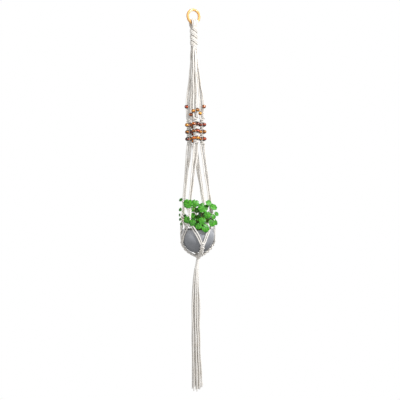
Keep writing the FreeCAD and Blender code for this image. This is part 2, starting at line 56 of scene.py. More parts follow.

# ---- places that the frame gives ----
ARM_NAMES = ("front_left", "front_right", "back_right", "back_left")
RIM_DIRECTIONS = {"front_left": -135, "front_right": -45, "back_right": 45, "back_left": 135}
RIM_ORDERS = {"front_left": (0, 1, 2, 3), "front_right": (2, 0, 3, 1),
              "back_right": (1, 0, 3, 2), "back_left": (1, 3, 0, 2)}
SINNETS = (("front", -90), ("right", 0), ("back", 90), ("left", 180))
FACING = -16                   # degrees from +X to the line that the bead bands lie along
RING_TURN = 14                 # degrees from +X to the ring's plane

ring_low, ring_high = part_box("hanging_ring")
RING_OUTER = (ring_high.z - ring_low.z) / 2
RING_TUBE = 0.00375
RING_RADIUS = RING_OUTER - RING_TUBE
RING_CENTRE_Z = (ring_high.z + ring_low.z) / 2
SWING_AXIS_Z = RING_CENTRE_Z - RING_RADIUS

crown_low, crown_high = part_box("crown_sinnet")
rim_knot_low, rim_knot_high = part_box("rim_knots")
RIM_KNOT_REACH = 0.0465
pot_low, pot_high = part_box("pot")
POT_RIM_RADIUS = 0.042
POT_WIDEST_RADIUS = (pot_high.x - pot_low.x) / 2
POT_BASE_RADIUS = 0.020
POT_WIDEST_Z = pot_high.z - 0.020
POT_WALL = 0.004
SOIL_TOP_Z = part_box("soil")[1].z
SINNET_TOP_Z = -0.625
TASSEL_PIVOT_Z = -0.668


def facing_point(right, behind, height):
    """The point so far right of the axis and behind it, as seen along the bead bands' front."""
    turn = math.radians(FACING)
    return Vector((right * math.cos(turn) - behind * math.sin(turn),
                   right * math.sin(turn) + behind * math.cos(turn), height))


def polar(direction, reach, height):
    """The point at a distance from the Z axis, in a direction in degrees."""
    angle = math.radians(direction)
    return Vector((reach * math.cos(angle), reach * math.sin(angle), height))


# ---- meshes ----
class Build:
    """Vertices, faces and each face's material, gathered from several shapes."""

    def __init__(self):
        self.points = []
        self.faces = []
        self.slots = []
        self.shades = []
        self.count = 0

    def add(self, points, faces, slot=0, shades=None):
        self.points.append(np.asarray(points, dtype=float).reshape(-1, 3))
        start = self.count
        self.faces += [tuple(start + corner for corner in face) for face in faces]
        self.slots += [slot] * len(faces)
        self.shades.append(np.ones(len(self.points[-1])) if shades is None else shades)
        self.count += len(self.points[-1])

    def make(self, name, materials, body, replaced=()):
        """The finished piece, riding on its body in place of its CAD nodes."""
        mesh = bpy.data.meshes.new(name)
        mesh.from_pydata(np.concatenate(self.points).tolist(), [], self.faces)
        for material in materials:
            mesh.materials.append(material)
        mesh.polygons.foreach_set("material_index", self.slots)
        mesh.polygons.foreach_set("use_smooth", [True] * len(self.faces))
        layer = mesh.attributes.new("shade", "FLOAT", "POINT")
        layer.data.foreach_set("value", np.concatenate(self.shades))
        mesh.update()
        piece = bpy.data.objects.new(name, mesh)
        bpy.context.scene.collection.objects.link(piece)
        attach(piece, body)
        if replaced:
            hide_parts(*replaced)
        return piece


def smooth_line(points):
    """Points along the smooth curve that these points steer."""
    data = bpy.data.curves.new("route", "CURVE")
    data.dimensions = "3D"
    data.resolution_u = 24
    spline = data.splines.new("NURBS")
    spline.points.add(len(points) - 1)
    for place, point in zip(spline.points, points):
        place.co = (*point, 1)
    spline.order_u = 3
    spline.use_endpoint_u = True
    holder = bpy.data.objects.new("route", data)
    mesh = bpy.data.meshes.new_from_object(holder)
    line = np.array([vertex.co[:] for vertex in mesh.vertices])
    bpy.data.objects.remove(holder)
    bpy.data.curves.remove(data)
    bpy.data.meshes.remove(mesh)
    return line


def evenly(line, step=STEP):
    """The same line with its points a step apart."""
    pieces = np.linalg.norm(np.diff(line, axis=0), axis=1)
    along = np.concatenate([[0], np.cumsum(pieces)])
    count = max(3, int(round(along[-1] / step)) + 1)
    wanted = np.linspace(0, along[-1], count)
    return np.column_stack([np.interp(wanted, along, line[:, axis]) for axis in range(3)])


def line_length(line):
    return float(np.linalg.norm(np.diff(line, axis=0), axis=1).sum())


def carried_frames(line):
    """Unit tangents, and normals carried along the line without turning about it."""
    tangents = np.gradient(line, axis=0)
    tangents /= np.linalg.norm(tangents, axis=1)[:, None]
    first = np.cross(tangents[0], (0.3, 0.9, 0.1))
    normal = first / np.linalg.norm(first)
    normals = [normal]
    for tangent in tangents[1:]:
        normal = normal - tangent * normal.dot(tangent)
        normal = normal / np.linalg.norm(normal)
        normals.append(normal)
    normals = np.array(normals)
    return tangents, normals, np.cross(tangents, normals)


def tube_faces(rings, sides):
    """Quads between rings of points, and a face to close each end."""
    faces = []
    for ring in range(rings - 1):
        for side in range(sides):
            beside = (side + 1) % sides
            low = ring * sides
            faces.append((low + side, low + beside, low + sides + beside, low + sides + side))
    faces.append(tuple(range(sides - 1, -1, -1)))
    faces.append(tuple((rings - 1) * sides + side for side in range(sides)))
    return faces


def add_tube(build, line, radii, sides=STRAND_SIDES, slot=0, core=None):
    """A closed tube of one radius, or of one for each point; with painted shade, darker towards the core
    line it winds round.
    """
    _, normals, binormals = carried_frames(line)
    radii = np.broadcast_to(radii, len(line))[:, None]
    rings = []
    for side in range(sides):
        angle = 2 * math.pi * side / sides
        rings.append(line + radii * (math.cos(angle) * normals + math.sin(angle) * binormals))
    points = np.stack(rings, axis=1)
    shades = None
    if core is not None:
        away = np.linalg.norm(points - core[:, None, :], axis=2).ravel()
        shades = np.clip((away / CORD_RADIUS - GROOVE_SHADE) / (1 - GROOVE_SHADE), 0, 1)
    build.add(points, tube_faces(len(line), sides), slot, shades)


def add_rope(build, points, phase=0.0, frayed=False, smooth=True, tapered=True):
    """A three-strand twisted cord along a smooth line, and that line."""
    line = evenly(smooth_line(points) if smooth else np.asarray(points, dtype=float))
    _, normals, binormals = carried_frames(line)
    along = np.linspace(0, line_length(line), len(line))
    for strand in range(STRANDS):
        turn = phase + 2 * math.pi * (along / LAY + strand / STRANDS)
        reach = STRAND_SHARE * CORD_RADIUS
        middle = line + reach * (np.cos(turn)[:, None] * normals + np.sin(turn)[:, None] * binormals)
        widths = np.full(len(line), STRAND_SHARE * CORD_RADIUS * 1.04)
        if tapered:
            widths[0] *= 0.6
            widths[-1] *= 0.6
        add_tube(build, middle, widths, core=line)
    if frayed:
        add_fray(build, line, phase)
    return line


def add_fray(build, line, phase):
    """The loose fibres that stand out of a cut end."""
    chance = random.Random(int(phase * 1000) + 7)
    end, before = line[-1], line[-4]
    down = (end - before) / np.linalg.norm(end - before)
    side = np.cross(down, (0.2, 0.9, 0.1))
    side /= np.linalg.norm(side)
    other = np.cross(down, side)
    for fibre in range(FRAY_FIBRES):
        angle = 2 * math.pi * fibre / FRAY_FIBRES + chance.uniform(-0.3, 0.3)
        outward = math.cos(angle) * side + math.sin(angle) * other
        spread = chance.uniform(0.2, 1.0)
        length = chance.uniform(0.0035, 0.0052)
        steps = []
        for share in (0, 0.3, 0.6, 1.0):
            out = CORD_RADIUS * (0.45 + spread * 0.95 * share ** 1.3)
            steps.append(end - down * 0.0025 + down * length * share + outward * out)
        add_tube(build, np.array(steps), np.array([0.0005, 0.00042, 0.0003, 0.00012]), sides=4)


FRAY_FIBRES = 14


# ---- materials ----
def shader(name):
    """A new material with its main shader and a quick way to add and link nodes."""
    material = bpy.data.materials.new(name)
    material.use_nodes = True
    tree = material.node_tree
    main = tree.nodes["Principled BSDF"]

    def add(kind, **settings):
        node = tree.nodes.new(kind)
        for key, value in settings.items():
            if key in node.inputs:
                node.inputs[key].default_value = value
            else:
                setattr(node, key, value)
        return node

    return material, main, add, tree.links.new


def ramp(add, stops):
    """A colour ramp through (place, colour) stops."""
    node = add("ShaderNodeValToRGB")
    while len(node.color_ramp.elements) < len(stops):
        node.color_ramp.elements.new(0.5)
    for element, (place, colour) in zip(node.color_ramp.elements, stops):
        element.position = place
        element.color = (*colour, 1)
    return node


def cotton_material():
    """Off-white cotton: warmer in patches, with painted shade of dark warm grey in the grooves between the
    strands, and fibres as fine bumps along and across the strands.
    """
    material, main, add, link = shader("cotton_cord")
    place = add("ShaderNodeTexCoord")
    patches = add("ShaderNodeTexNoise", Scale=55.0, Detail=3.0)
    fibres = add("ShaderNodeTexNoise", Scale=2600.0, Detail=4.0, Roughness=0.7)
    colour = ramp(add, [(0.3, (0.84, 0.80, 0.74)), (0.7, (0.93, 0.91, 0.88))])
    shade = add("ShaderNodeAttribute", attribute_name="shade")
    # painted shade: the mesh's shade values mix a dark warm grey into the grooves between the strands
    groove_shade_mix = add("ShaderNodeMix", data_type="RGBA", blend_type="MIX")
    groove_shade_mix.inputs["A"].default_value = (0.33, 0.29, 0.25, 1)
    bump = add("ShaderNodeBump", Strength=0.35, Distance=0.0003)
    link(place.outputs["Object"], patches.inputs["Vector"])
    link(place.outputs["Object"], fibres.inputs["Vector"])
    link(patches.outputs["Fac"], colour.inputs["Fac"])
    link(shade.outputs["Fac"], groove_shade_mix.inputs["Factor"])
    link(colour.outputs["Color"], groove_shade_mix.inputs["B"])
    link(groove_shade_mix.outputs["Result"], main.inputs["Base Color"])
    link(fibres.outputs["Fac"], bump.inputs["Height"])
    link(bump.outputs["Normal"], main.inputs["Normal"])
    main.inputs["Roughness"].default_value = 0.85
    main.inputs["Sheen Weight"].default_value = 0.35
    main.inputs["Sheen Roughness"].default_value = 0.5
    main.inputs["Specular IOR Level"].default_value = 0.25
    return material


def bead_material(name, dark, mid, light):
    """Varnished turned wood: growth rings across the bead from dark to light, under clear gloss, with
    painted shade darkening it towards its ends.
    """
    material, main, add, link = shader(name)
    place = add("ShaderNodeTexCoord")
    lean = add("ShaderNodeMapping")
    lean.inputs["Rotation"].default_value = (0.5, 0.9, 0.3)
    warp = add("ShaderNodeTexNoise", Scale=240.0, Detail=4.0)
    grain = add("ShaderNodeTexWave", Scale=110.0, Distortion=7.0, Detail=3.0)
    grain.inputs["Detail Scale"].default_value = 1.5
    blend = add("ShaderNodeMix", data_type="FLOAT")
    blend.inputs["Factor"].default_value = 0.87
    colour = ramp(add, [(0.42, dark), (0.50, mid), (0.60, light)])
    link(place.outputs["Object"], lean.inputs["Vector"])
    link(lean.outputs["Vector"], warp.inputs["Vector"])
    link(lean.outputs["Vector"], grain.inputs["Vector"])
    link(grain.outputs["Fac"], blend.inputs["A"])
    link(warp.outputs["Fac"], blend.inputs["B"])
    link(blend.outputs["Result"], colour.inputs["Fac"])
    # painted shade: the mesh's shade values darken the bead towards its ends
    end_shade_mix = add("ShaderNodeMix", data_type="RGBA", blend_type="MIX")
    end_shade_mix.inputs["A"].default_value = (*(0.3 * value for value in dark), 1)
    shade = add("ShaderNodeAttribute", attribute_name="shade")
    link(shade.outputs["Fac"], end_shade_mix.inputs["Factor"])
    link(colour.outputs["Color"], end_shade_mix.inputs["B"])
    link(end_shade_mix.outputs["Result"], main.inputs["Base Color"])
    main.inputs["Roughness"].default_value = 0.4
    main.inputs["Specular IOR Level"].default_value = 0.3
    main.inputs["Coat Weight"].default_value = 1.0
    main.inputs["Coat Roughness"].default_value = 0.11
    return material


def ring_material():
    """Golden varnished wood with grain along the ring and a dark glue seam."""
    material, main, add, link = shader("ring_wood")
    place = add("ShaderNodeTexCoord")
    stretch = add("ShaderNodeMapping")
    stretch.inputs["Scale"].default_value = (5.0, 9.0, 1.0)
    grain = add("ShaderNodeTexNoise", Scale=3.0, Detail=6.0, Roughness=0.65)
    colour = ramp(add, [(0.3, (0.48, 0.21, 0.05)), (0.5, (0.78, 0.42, 0.12)), (0.72, (0.90, 0.60, 0.25))])
    bump = add("ShaderNodeBump", Strength=0.15, Distance=0.0004)
    link(place.outputs["UV"], stretch.inputs["Vector"])
    link(stretch.outputs["Vector"], grain.inputs["Vector"])
    link(grain.outputs["Fac"], colour.inputs["Fac"])
    link(colour.outputs["Color"], main.inputs["Base Color"])
    link(grain.outputs["Fac"], bump.inputs["Height"])
    link(bump.outputs["Normal"], main.inputs["Normal"])
    main.inputs["Roughness"].default_value = 0.35
    main.inputs["Coat Weight"].default_value = 0.6
    main.inputs["Coat Roughness"].default_value = 0.12
    return material


def plain_material(name, colour, roughness):
    """A small dark detail with a slight mottle."""
    material, main, add, link = shader(name)
    place = add("ShaderNodeTexCoord")
    mottle = add("ShaderNodeTexNoise", Scale=400.0, Detail=3.0)
    tones = ramp(add, [(0.35, tuple(0.7 * value for value in colour)), (0.65, colour)])
    link(place.outputs["Object"], mottle.inputs["Vector"])
    link(mottle.outputs["Fac"], tones.inputs["Fac"])
    link(tones.outputs["Color"], main.inputs["Base Color"])
    main.inputs["Roughness"].default_value = roughness
    return material


def pot_material():
    """Matte grey stoneware, cloudy and finely speckled, with a paler band under the rim, and painted shade
    making it darker towards the bottom.
    """
    material, main, add, link = shader("pot_grey")
    place = add("ShaderNodeTexCoord")
    clouds = add("ShaderNodeTexNoise", Scale=38.0, Detail=5.0, Roughness=0.6)
    specks = add("ShaderNodeTexNoise", Scale=900.0, Detail=2.0)
    height = add("ShaderNodeSeparateXYZ")
    band = add("ShaderNodeMapRange")
    band.inputs["From Min"].default_value = pot_high.z - 0.0165
    band.inputs["From Max"].default_value = pot_high.z - 0.0125
    # painted shade: the colour is scaled down towards the pot's bottom, as if light falls from above
    painted_shade_by_height = add("ShaderNodeMapRange")
    painted_shade_by_height.inputs["From Min"].default_value = pot_low.z
    painted_shade_by_height.inputs["From Max"].default_value = pot_high.z
    painted_shade_by_height.inputs["To Min"].default_value = 0.62
    painted_shade_by_height.inputs["To Max"].default_value = 1.05
    colour = ramp(add, [(0.3, (0.27, 0.28, 0.305)),
                        (0.55, (0.345, 0.357, 0.385)),
                        (0.8, (0.41, 0.42, 0.455))])
    speck_tones = ramp(add, [(0.38, (0.82, 0.82, 0.82)), (0.5, (1.0, 1.0, 1.0))])
    lift = add("ShaderNodeMix", data_type="RGBA", blend_type="MIX")
    lift.inputs["B"].default_value = (0.46, 0.47, 0.50, 1)
    lift_share = add("ShaderNodeMath", operation="MULTIPLY")
    lift_share.inputs[1].default_value = 0.35
    speckled = add("ShaderNodeMix", data_type="RGBA", blend_type="MULTIPLY")
    speckled.inputs["Factor"].default_value = 0.6
    shaded = add("ShaderNodeVectorMath", operation="SCALE")
    bump = add("ShaderNodeBump", Strength=0.25, Distance=0.0004)
    link(place.outputs["Object"], clouds.inputs["Vector"])
    link(place.outputs["Object"], specks.inputs["Vector"])
    link(place.outputs["Object"], height.inputs["Vector"])
    link(height.outputs["Z"], band.inputs["Value"])
    link(height.outputs["Z"], painted_shade_by_height.inputs["Value"])
    link(clouds.outputs["Fac"], colour.inputs["Fac"])
    link(band.outputs["Result"], lift_share.inputs[0])
    link(lift_share.outputs["Value"], lift.inputs["Factor"])
    link(colour.outputs["Color"], lift.inputs["A"])
    link(specks.outputs["Fac"], speck_tones.inputs["Fac"])
    link(lift.outputs["Result"], speckled.inputs["A"])
    link(speck_tones.outputs["Color"], speckled.inputs["B"])
    link(speckled.outputs["Result"], shaded.inputs["Vector"])
    link(painted_shade_by_height.outputs["Result"], shaded.inputs["Scale"])
    link(shaded.outputs["Vector"], main.inputs["Base Color"])
    link(specks.outputs["Fac"], bump.inputs["Height"])
    link(bump.outputs["Normal"], main.inputs["Normal"])
    main.inputs["Roughness"].default_value = 0.55
    return material


def soil_material():
    material, main, add, link = shader("soil")
    place = add("ShaderNodeTexCoord")
    crumbs = add("ShaderNodeTexVoronoi", Scale=420.0)
    colour = ramp(add, [(0.1, (0.035, 0.022, 0.014)), (0.7, (0.11, 0.07, 0.04))])
    bump = add("ShaderNodeBump", Strength=0.8, Distance=0.001)
    link(place.outputs["Object"], crumbs.inputs["Vector"])
    link(crumbs.outputs["Distance"], colour.inputs["Fac"])
    link(colour.outputs["Color"], main.inputs["Base Color"])
    link(crumbs.outputs["Distance"], bump.inputs["Height"])
    link(bump.outputs["Normal"], main.inputs["Normal"])
    main.inputs["Roughness"].default_value = 0.95
    return material


def leaf_material(name, deep, fresh, pale):
    """A leaf's green: mottled, with the veins paler by the mesh's own vein values."""
    material, main, add, link = shader(name)
    place = add("ShaderNodeTexCoord")
    vein = add("ShaderNodeAttribute", attribute_name="vein")
    mottle = add("ShaderNodeTexNoise", Scale=190.0, Detail=4.0)
    cells = add("ShaderNodeTexVoronoi", Scale=700.0)
    colour = ramp(add, [(0.38, deep), (0.6, fresh)])
    veined = add("ShaderNodeMix", data_type="RGBA", blend_type="MIX")
    veined.inputs["B"].default_value = (*pale, 1)
    bump = add("ShaderNodeBump", Strength=0.3, Distance=0.0004)
    link(place.outputs["Object"], mottle.inputs["Vector"])
    link(place.outputs["Object"], cells.inputs["Vector"])
    link(mottle.outputs["Fac"], colour.inputs["Fac"])
    link(colour.outputs["Color"], veined.inputs["A"])
    link(vein.outputs["Fac"], veined.inputs["Factor"])
    link(veined.outputs["Result"], main.inputs["Base Color"])
    link(cells.outputs["Distance"], bump.inputs["Height"])
    link(bump.outputs["Normal"], main.inputs["Normal"])
    main.inputs["Roughness"].default_value = 0.42
    main.inputs["Specular IOR Level"].default_value = 0.4
    return material


def stem_material():
    material, main, add, link = shader("stem")
    place = add("ShaderNodeTexCoord")
    mottle = add("ShaderNodeTexNoise", Scale=45.0, Detail=2.0)
    colour = ramp(add, [(0.38, (0.42, 0.16, 0.04)), (0.62, (0.16, 0.30, 0.05))])
    link(place.outputs["Object"], mottle.inputs["Vector"])
    link(mottle.outputs["Fac"], colour.inputs["Fac"])
    link(colour.outputs["Color"], main.inputs["Base Color"])
    main.inputs["Roughness"].default_value = 0.5
    return material


cotton = cotton_material()

BEAD_TONES = [
    bead_material("bead_gold", (0.30, 0.06, 0.002), (0.70, 0.25, 0.008), (0.92, 0.52, 0.06)),
    bead_material("bead_orange", (0.14, 0.012, 0.001), (0.55, 0.09, 0.002), (0.85, 0.28, 0.01)),
    bead_material("bead_red", (0.06, 0.002, 0.001), (0.36, 0.015, 0.001), (0.72, 0.12, 0.005)),
    bead_material("bead_dark", (0.010, 0.001, 0.0005), (0.06, 0.003, 0.001), (0.35, 0.05, 0.004)),
    bead_material("bead_brown", (0.03, 0.003, 0.001), (0.28, 0.06, 0.003), (0.80, 0.34, 0.03)),
]
GOLD, ORANGE, RED, DARK, BROWN = range(5)


# ---- the ring and the loops over it ----
ring_wood = ring_material()
seam = plain_material("glue_seam", (0.16, 0.06, 0.02), 0.6)
SEAM_ANGLE = 66                # degrees from the ring's right-hand side up to its glue seam
RING_STEPS = 160
RING_SIDES = 24


def make_ring():
    """The bent wooden ring, with a fine dark seam where its ends are glued."""
    turn = math.radians(RING_TURN)
    along = Vector((math.cos(turn), math.sin(turn), 0))
    across = Vector((-math.sin(turn), math.cos(turn), 0))
    seam_step = round(SEAM_ANGLE / 360 * RING_STEPS)
    points = []
    for step in range(RING_STEPS):
        angle = 2 * math.pi * step / RING_STEPS
        out = along * math.cos(angle) + Vector((0, 0, math.sin(angle)))
        tube_radius = RING_TUBE - (0.0003 if step in (seam_step, seam_step + 1) else 0)
        for side in range(RING_SIDES):
            roll = 2 * math.pi * side / RING_SIDES
            reach = RING_RADIUS + tube_radius * math.cos(roll)
            aside = across * (tube_radius * math.sin(roll))
            points.append(out * reach + aside + Vector((0, 0, RING_CENTRE_Z)))
    faces = []
    slots = []
    for step in range(RING_STEPS):
        for side in range(RING_SIDES):
            after = (step + 1) % RING_STEPS
            beside = (side + 1) % RING_SIDES
            faces.append((step * RING_SIDES + side, step * RING_SIDES + beside,
                          after * RING_SIDES + beside, after * RING_SIDES + side))
            slots.append(1 if step == seam_step else 0)
    build = Build()
    build.add(points, faces)
    build.slots = slots
    ring = build.make("ring", [ring_wood, seam], "root", ["hanging_ring"])
    layer = ring.data.uv_layers.new(name="UVMap")
    for polygon in ring.data.polygons:
        step, side = divmod(polygon.index, RING_SIDES)
        for loop, (step_on, side_on) in zip(polygon.loop_indices, ((0, 0), (0, 1), (1, 1), (1, 0))):
            layer.data[loop].uv = ((step + step_on) / RING_STEPS, (side + side_on) / RING_SIDES)


def loop_reach(offset):
    """How far a cord's middle stays from the swing axis to clear the ring, beside its bottom."""
    slope = math.asin((abs(offset) + CORD_RADIUS / 2) / RING_RADIUS)
    rise = RING_RADIUS * (1 - math.cos(slope))
    return rise + RING_TUBE / math.cos(slope) + 0.0003 + CORD_RADIUS


def add_loop(build, offset, reach, phase):
    """One cord folded over the ring's bottom; its legs close in below it, into the crown."""
    turn = math.radians(RING_TURN)
    along = Vector((math.cos(turn), math.sin(turn), 0))
    across = Vector((math.sin(turn), -math.cos(turn), 0))

    def place(offset_here, sideways, height):
        return along * offset_here + across * sideways + Vector((0, 0, height))

    foot = crown_high.z - 0.010
    points = [place(offset * 0.5, -reach * 0.45, foot), place(offset * 0.7, -reach * 0.7, foot + 0.005),
              place(offset * 0.95, -reach, crown_high.z + 0.001)]
    for step in range(17):
        angle = math.pi * step / 16
        points.append(place(offset, -reach * math.cos(angle), SWING_AXIS_Z + reach * math.sin(angle)))
    points += [place(offset * 0.95, reach, crown_high.z + 0.001),
               place(offset * 0.7, reach * 0.7, foot + 0.005),
               place(offset * 0.5, reach * 0.45, foot)]
    add_rope(build, points, phase)


def make_ring_loops():
    build = Build()
    for step in range(-2, 3):
        offset = step * CORD_PITCH
        add_loop(build, offset, loop_reach(offset), step * 1.3)
    for step in (-1, 0, 1):
        offset = step * CORD_PITCH
        add_loop(build, offset, loop_reach(offset) + CORD_DIAMETER + 0.0001, step * 0.9 + 0.5)
    build.make("ring_loops_cord", [cotton], "harness", ["ring_loops"])


# ---- the crown ----
CROWN_LEAD = 0.031             # the length in which a bundle of three cords turns once round
CROWN_BUNDLE_PITCH = 0.0037
CROWN_REACH = 0.0085
CROWN_SWELL = 0.0010


def make_crown():
    """Half knots: two bundles of three cords winding down around a core, one from each side."""
    build = Build()
    top, low = crown_high.z - 0.0015, crown_low.z + 0.0015
    slope = math.atan2(CROWN_LEAD, 2 * math.pi * CROWN_REACH)
    for bundle in range(2):
        for cord in (-1, 0, 1):
            rise = cord * CROWN_BUNDLE_PITCH / math.cos(slope)
            points = []
            first = math.radians(200) + math.pi * bundle
            turns = (top - low) / CROWN_LEAD
            steps = int(turns * 28)
            for step in range(steps + 1):
                share = step / steps
                angle = first + 2 * math.pi * turns * share
                height = top + (low - top) * share + rise
                height = min(max(height, low + 0.0006), top - 0.0006)
                swell = CROWN_SWELL * math.cos(2 * (angle - first) + 0.6)
                reach = CROWN_REACH + swell - 0.0006 * abs(cord)
                if share < 0.06 or share > 0.94:
                    reach -= 0.0012
                points.append(Vector((reach * math.cos(angle), reach * math.sin(angle), height)))
            add_rope(build, points, cord * 1.1 + bundle, smooth=False)
    for core in range(5):
        angle = 2 * math.pi * core / 5
        middle = Vector((0.0042 * math.cos(angle), 0.0042 * math.sin(angle), 0))
        add_rope(build, [middle + Vector((0, 0, top)), middle + Vector((0, 0, (top + low) / 2)),
                         middle + Vector((0, 0, low))], core)
    build.make("crown_cords", [cotton], "harness", ["crown_sinnet"])


# ---- the arms ----
# Each arm's band: its middle right of the axis and behind it, how far below the highest arm's
# its knots sit, and its loose beads' heights.
BANDS = {"front_left": ((0.0005, -0.014), 0.0, (-0.2696, -0.2666)),
         "front_right": ((0.0178, 0.0), 0.003, (-0.2756, -0.2578)),
         "back_right": ((-0.0033, 0.014), 0.008, (-0.2765, -0.282)),
         "back_left": ((-0.0182, 0.0), 0.003, (-0.2574, -0.2789))}
BLOCK_REACH = 0.00655
BEAD_OFFSET = 0.00575
FILLER_OFFSET = 0.002
FILLER_DEPTH = 0.007
BEAD_RADIUS = 0.0055
BEAD_HEIGHT = 0.0094
BEAD_BORE = 0.0021
BEAD_ROWS = 3
KNOT_GAP = 0.0002
FIRST_KNOT_TOP_Z = -0.288
FIRST_KNOT_HEIGHT = 0.011
KNOT_HEIGHT = 0.0094
STRAIGHT_TOP_Z = -0.240
# The tones of each arm's held beads, row by row, left then right, and of its loose ones.
TONES = {"back_left": ((GOLD, ORANGE), (BROWN, DARK), (DARK, BROWN), (RED, ORANGE)),
         "front_left": ((ORANGE, DARK), (BROWN, RED), (ORANGE, GOLD), (GOLD, BROWN)),
         "front_right": ((DARK, RED), (GOLD, BROWN), (BROWN, RED), (GOLD, ORANGE)),
         "back_right": ((BROWN, RED), (DARK, ORANGE), (ORANGE, BROWN), (DARK, RED))}
UPPER_WAVE = 0.0013
UPPER_BOW = 1.7
LOWER_WAVE = 0.0011


def inward_side(name):
    """+1 where an arm's fillers run behind its beads, -1 where they run before them."""
    return -1 if BANDS[name][0][1] > 0 else 1


def band_places(name):
    """An arm's four cords in its band: left and right through the beads, then the fillers."""
    right, behind = BANDS[name][0]
    places = [(right - BEAD_OFFSET, behind), (right + BEAD_OFFSET, behind)]
    for side in (-1, 1):
        places.append((right + side * FILLER_OFFSET, behind + inward_side(name) * FILLER_DEPTH))
    return places


def crown_places(name):
    """Where the four cords leave the crown: two by two, towards this arm's side."""
    right, behind = BANDS[name][0]
    half = CORD_PITCH / 2
    if abs(behind) > abs(right):
        side = math.copysign(1, behind)
        outer, inner = side * (BLOCK_REACH + half), side * (BLOCK_REACH - half)
        return [(-half, outer), (half, outer), (-half, inner), (half, inner)]
    side = math.copysign(1, right)
    low, high = sorted((side * (BLOCK_REACH + half), side * (BLOCK_REACH - half)))
    return [(low, -half), (high, -half), (low, half), (high, half)]


def knot_tops(name):
    """The heights of the tops of an arm's knots, and the knots' heights."""
    top = FIRST_KNOT_TOP_Z - BANDS[name][1]
    tops = [(top, FIRST_KNOT_HEIGHT)]
    top -= FIRST_KNOT_HEIGHT
    for _ in range(BEAD_ROWS):
        top -= BEAD_HEIGHT + 2 * KNOT_GAP
        tops.append((top, KNOT_HEIGHT))
        top -= KNOT_HEIGHT
    return tops


def knot_turns(top, height, width, over, under, core):
    """A square knot's two workers and two fillers as (sideways, depth, height) points.

    The left worker crosses in front to the right and back; the right one crosses behind.
    """
    shares = (0.06, 0.17, 0.28, 0.42, 0.58, 0.72, 0.83, 0.94)
    sides = (-0.95, -0.42, 0.42, 1.0, 1.0, 0.42, -0.42, -0.95)
    middle = (over + under) / 2
    front = []
    back = []
    for share, side in zip(shares, sides):
        height_here = top - share * height
        across = 0.6 < abs(side)
        front.append((side * width, middle - 0.5 * (middle - over) if across else over, height_here))
        behind = middle + 0.5 * (under - middle) if across else under
        back.append((-side * width, behind, height_here - 0.0004))
    fillers = [[(side * core, middle, top - 0.1 * height), (side * core, middle, top - 0.9 * height)]
               for side in (-1, 1)]
    return front, back, fillers


def make_knots(name):
    """The arm's cords through its four square knots and three rows of beads."""
    build = Build()
    right, behind = BANDS[name][0]
    inward = inward_side(name)
    workers = [[], []]
    fillers = [[], []]
    for top, height in knot_tops(name):
        front, back, cores = knot_turns(top, height, 0.0056, -0.0002, 0.0072, 0.0019)
        workers[0] += [(-BEAD_OFFSET, 0, top + 0.0002)] + front + [(-BEAD_OFFSET, 0, top - height - 0.0002)]
        workers[1] += [(BEAD_OFFSET, 0, top + 0.0002)] + back + [(BEAD_OFFSET, 0, top - height - 0.0002)]
        for side, filler, core in zip((-1, 1), fillers, cores):
            filler += core
            low = top - height - BEAD_HEIGHT / 2
            filler.append((side * FILLER_OFFSET, FILLER_DEPTH, low))
    for worker in workers:
        worker[0] = (worker[0][0], 0, worker[0][2] + 0.001)
        worker[-1] = (worker[-1][0], 0, worker[-1][2] - 0.001)
    for filler, side in zip(fillers, (-1, 1)):
        filler.insert(0, (side * FILLER_OFFSET, FILLER_DEPTH, filler[0][2] + 0.003))
        filler.pop()
        filler.append((side * FILLER_OFFSET, FILLER_DEPTH, filler[-1][2] - 0.003))
    for number, route in enumerate(workers + fillers):
        points = [facing_point(right + u, behind + inward * v, z) for u, v, z in route]
        add_rope(build, points, number * 1.7)
    build.make(f"{name}_knot_cords", [cotton], "harness", [f"{name}_knots"])


def bead_outline():
    """A bead's (radius, height) outline from its bore's low end round the outside and back in."""
    outline = [(BEAD_BORE, -BEAD_HEIGHT / 2 + 0.0005), (BEAD_BORE + 0.0004, -BEAD_HEIGHT / 2)]
    flat = math.asin(BEAD_HEIGHT / 2 / BEAD_RADIUS)
    for step in range(15):
        angle = -flat + 2 * flat * step / 14
        outline.append((BEAD_RADIUS * math.cos(angle), BEAD_RADIUS * math.sin(angle)))
    outline += [(BEAD_BORE + 0.0004, BEAD_HEIGHT / 2), (BEAD_BORE, BEAD_HEIGHT / 2 - 0.0005)]
    return outline


def add_lathe(build, outline, centre, sides, slot=0, closed=True, shades=None):
    """A shape turned about a vertical line through a centre."""
    points = []
    for radius, height in outline:
        for side in range(sides):
            angle = 2 * math.pi * side / sides
            points.append((centre.x + radius * math.cos(angle), centre.y + radius * math.sin(angle),
                           centre.z + height))
    faces = []
    rings = len(outline)
    for ring in range(rings if closed else rings - 1):
        after = (ring + 1) % rings
        for side in range(sides):
            beside = (side + 1) % sides
            faces.append((ring * sides + side, ring * sides + beside,
                          after * sides + beside, after * sides + side))
    build.add(points, faces, slot, None if shades is None else np.repeat(shades, sides))


def bead_shades():
    """Full colour round a bead's middle, painted dark towards its ends as shade."""
    return [min(1.0, max(0.0, 1.75 - 2.2 * abs(height) / (BEAD_HEIGHT / 2))) for _, height in bead_outline()]


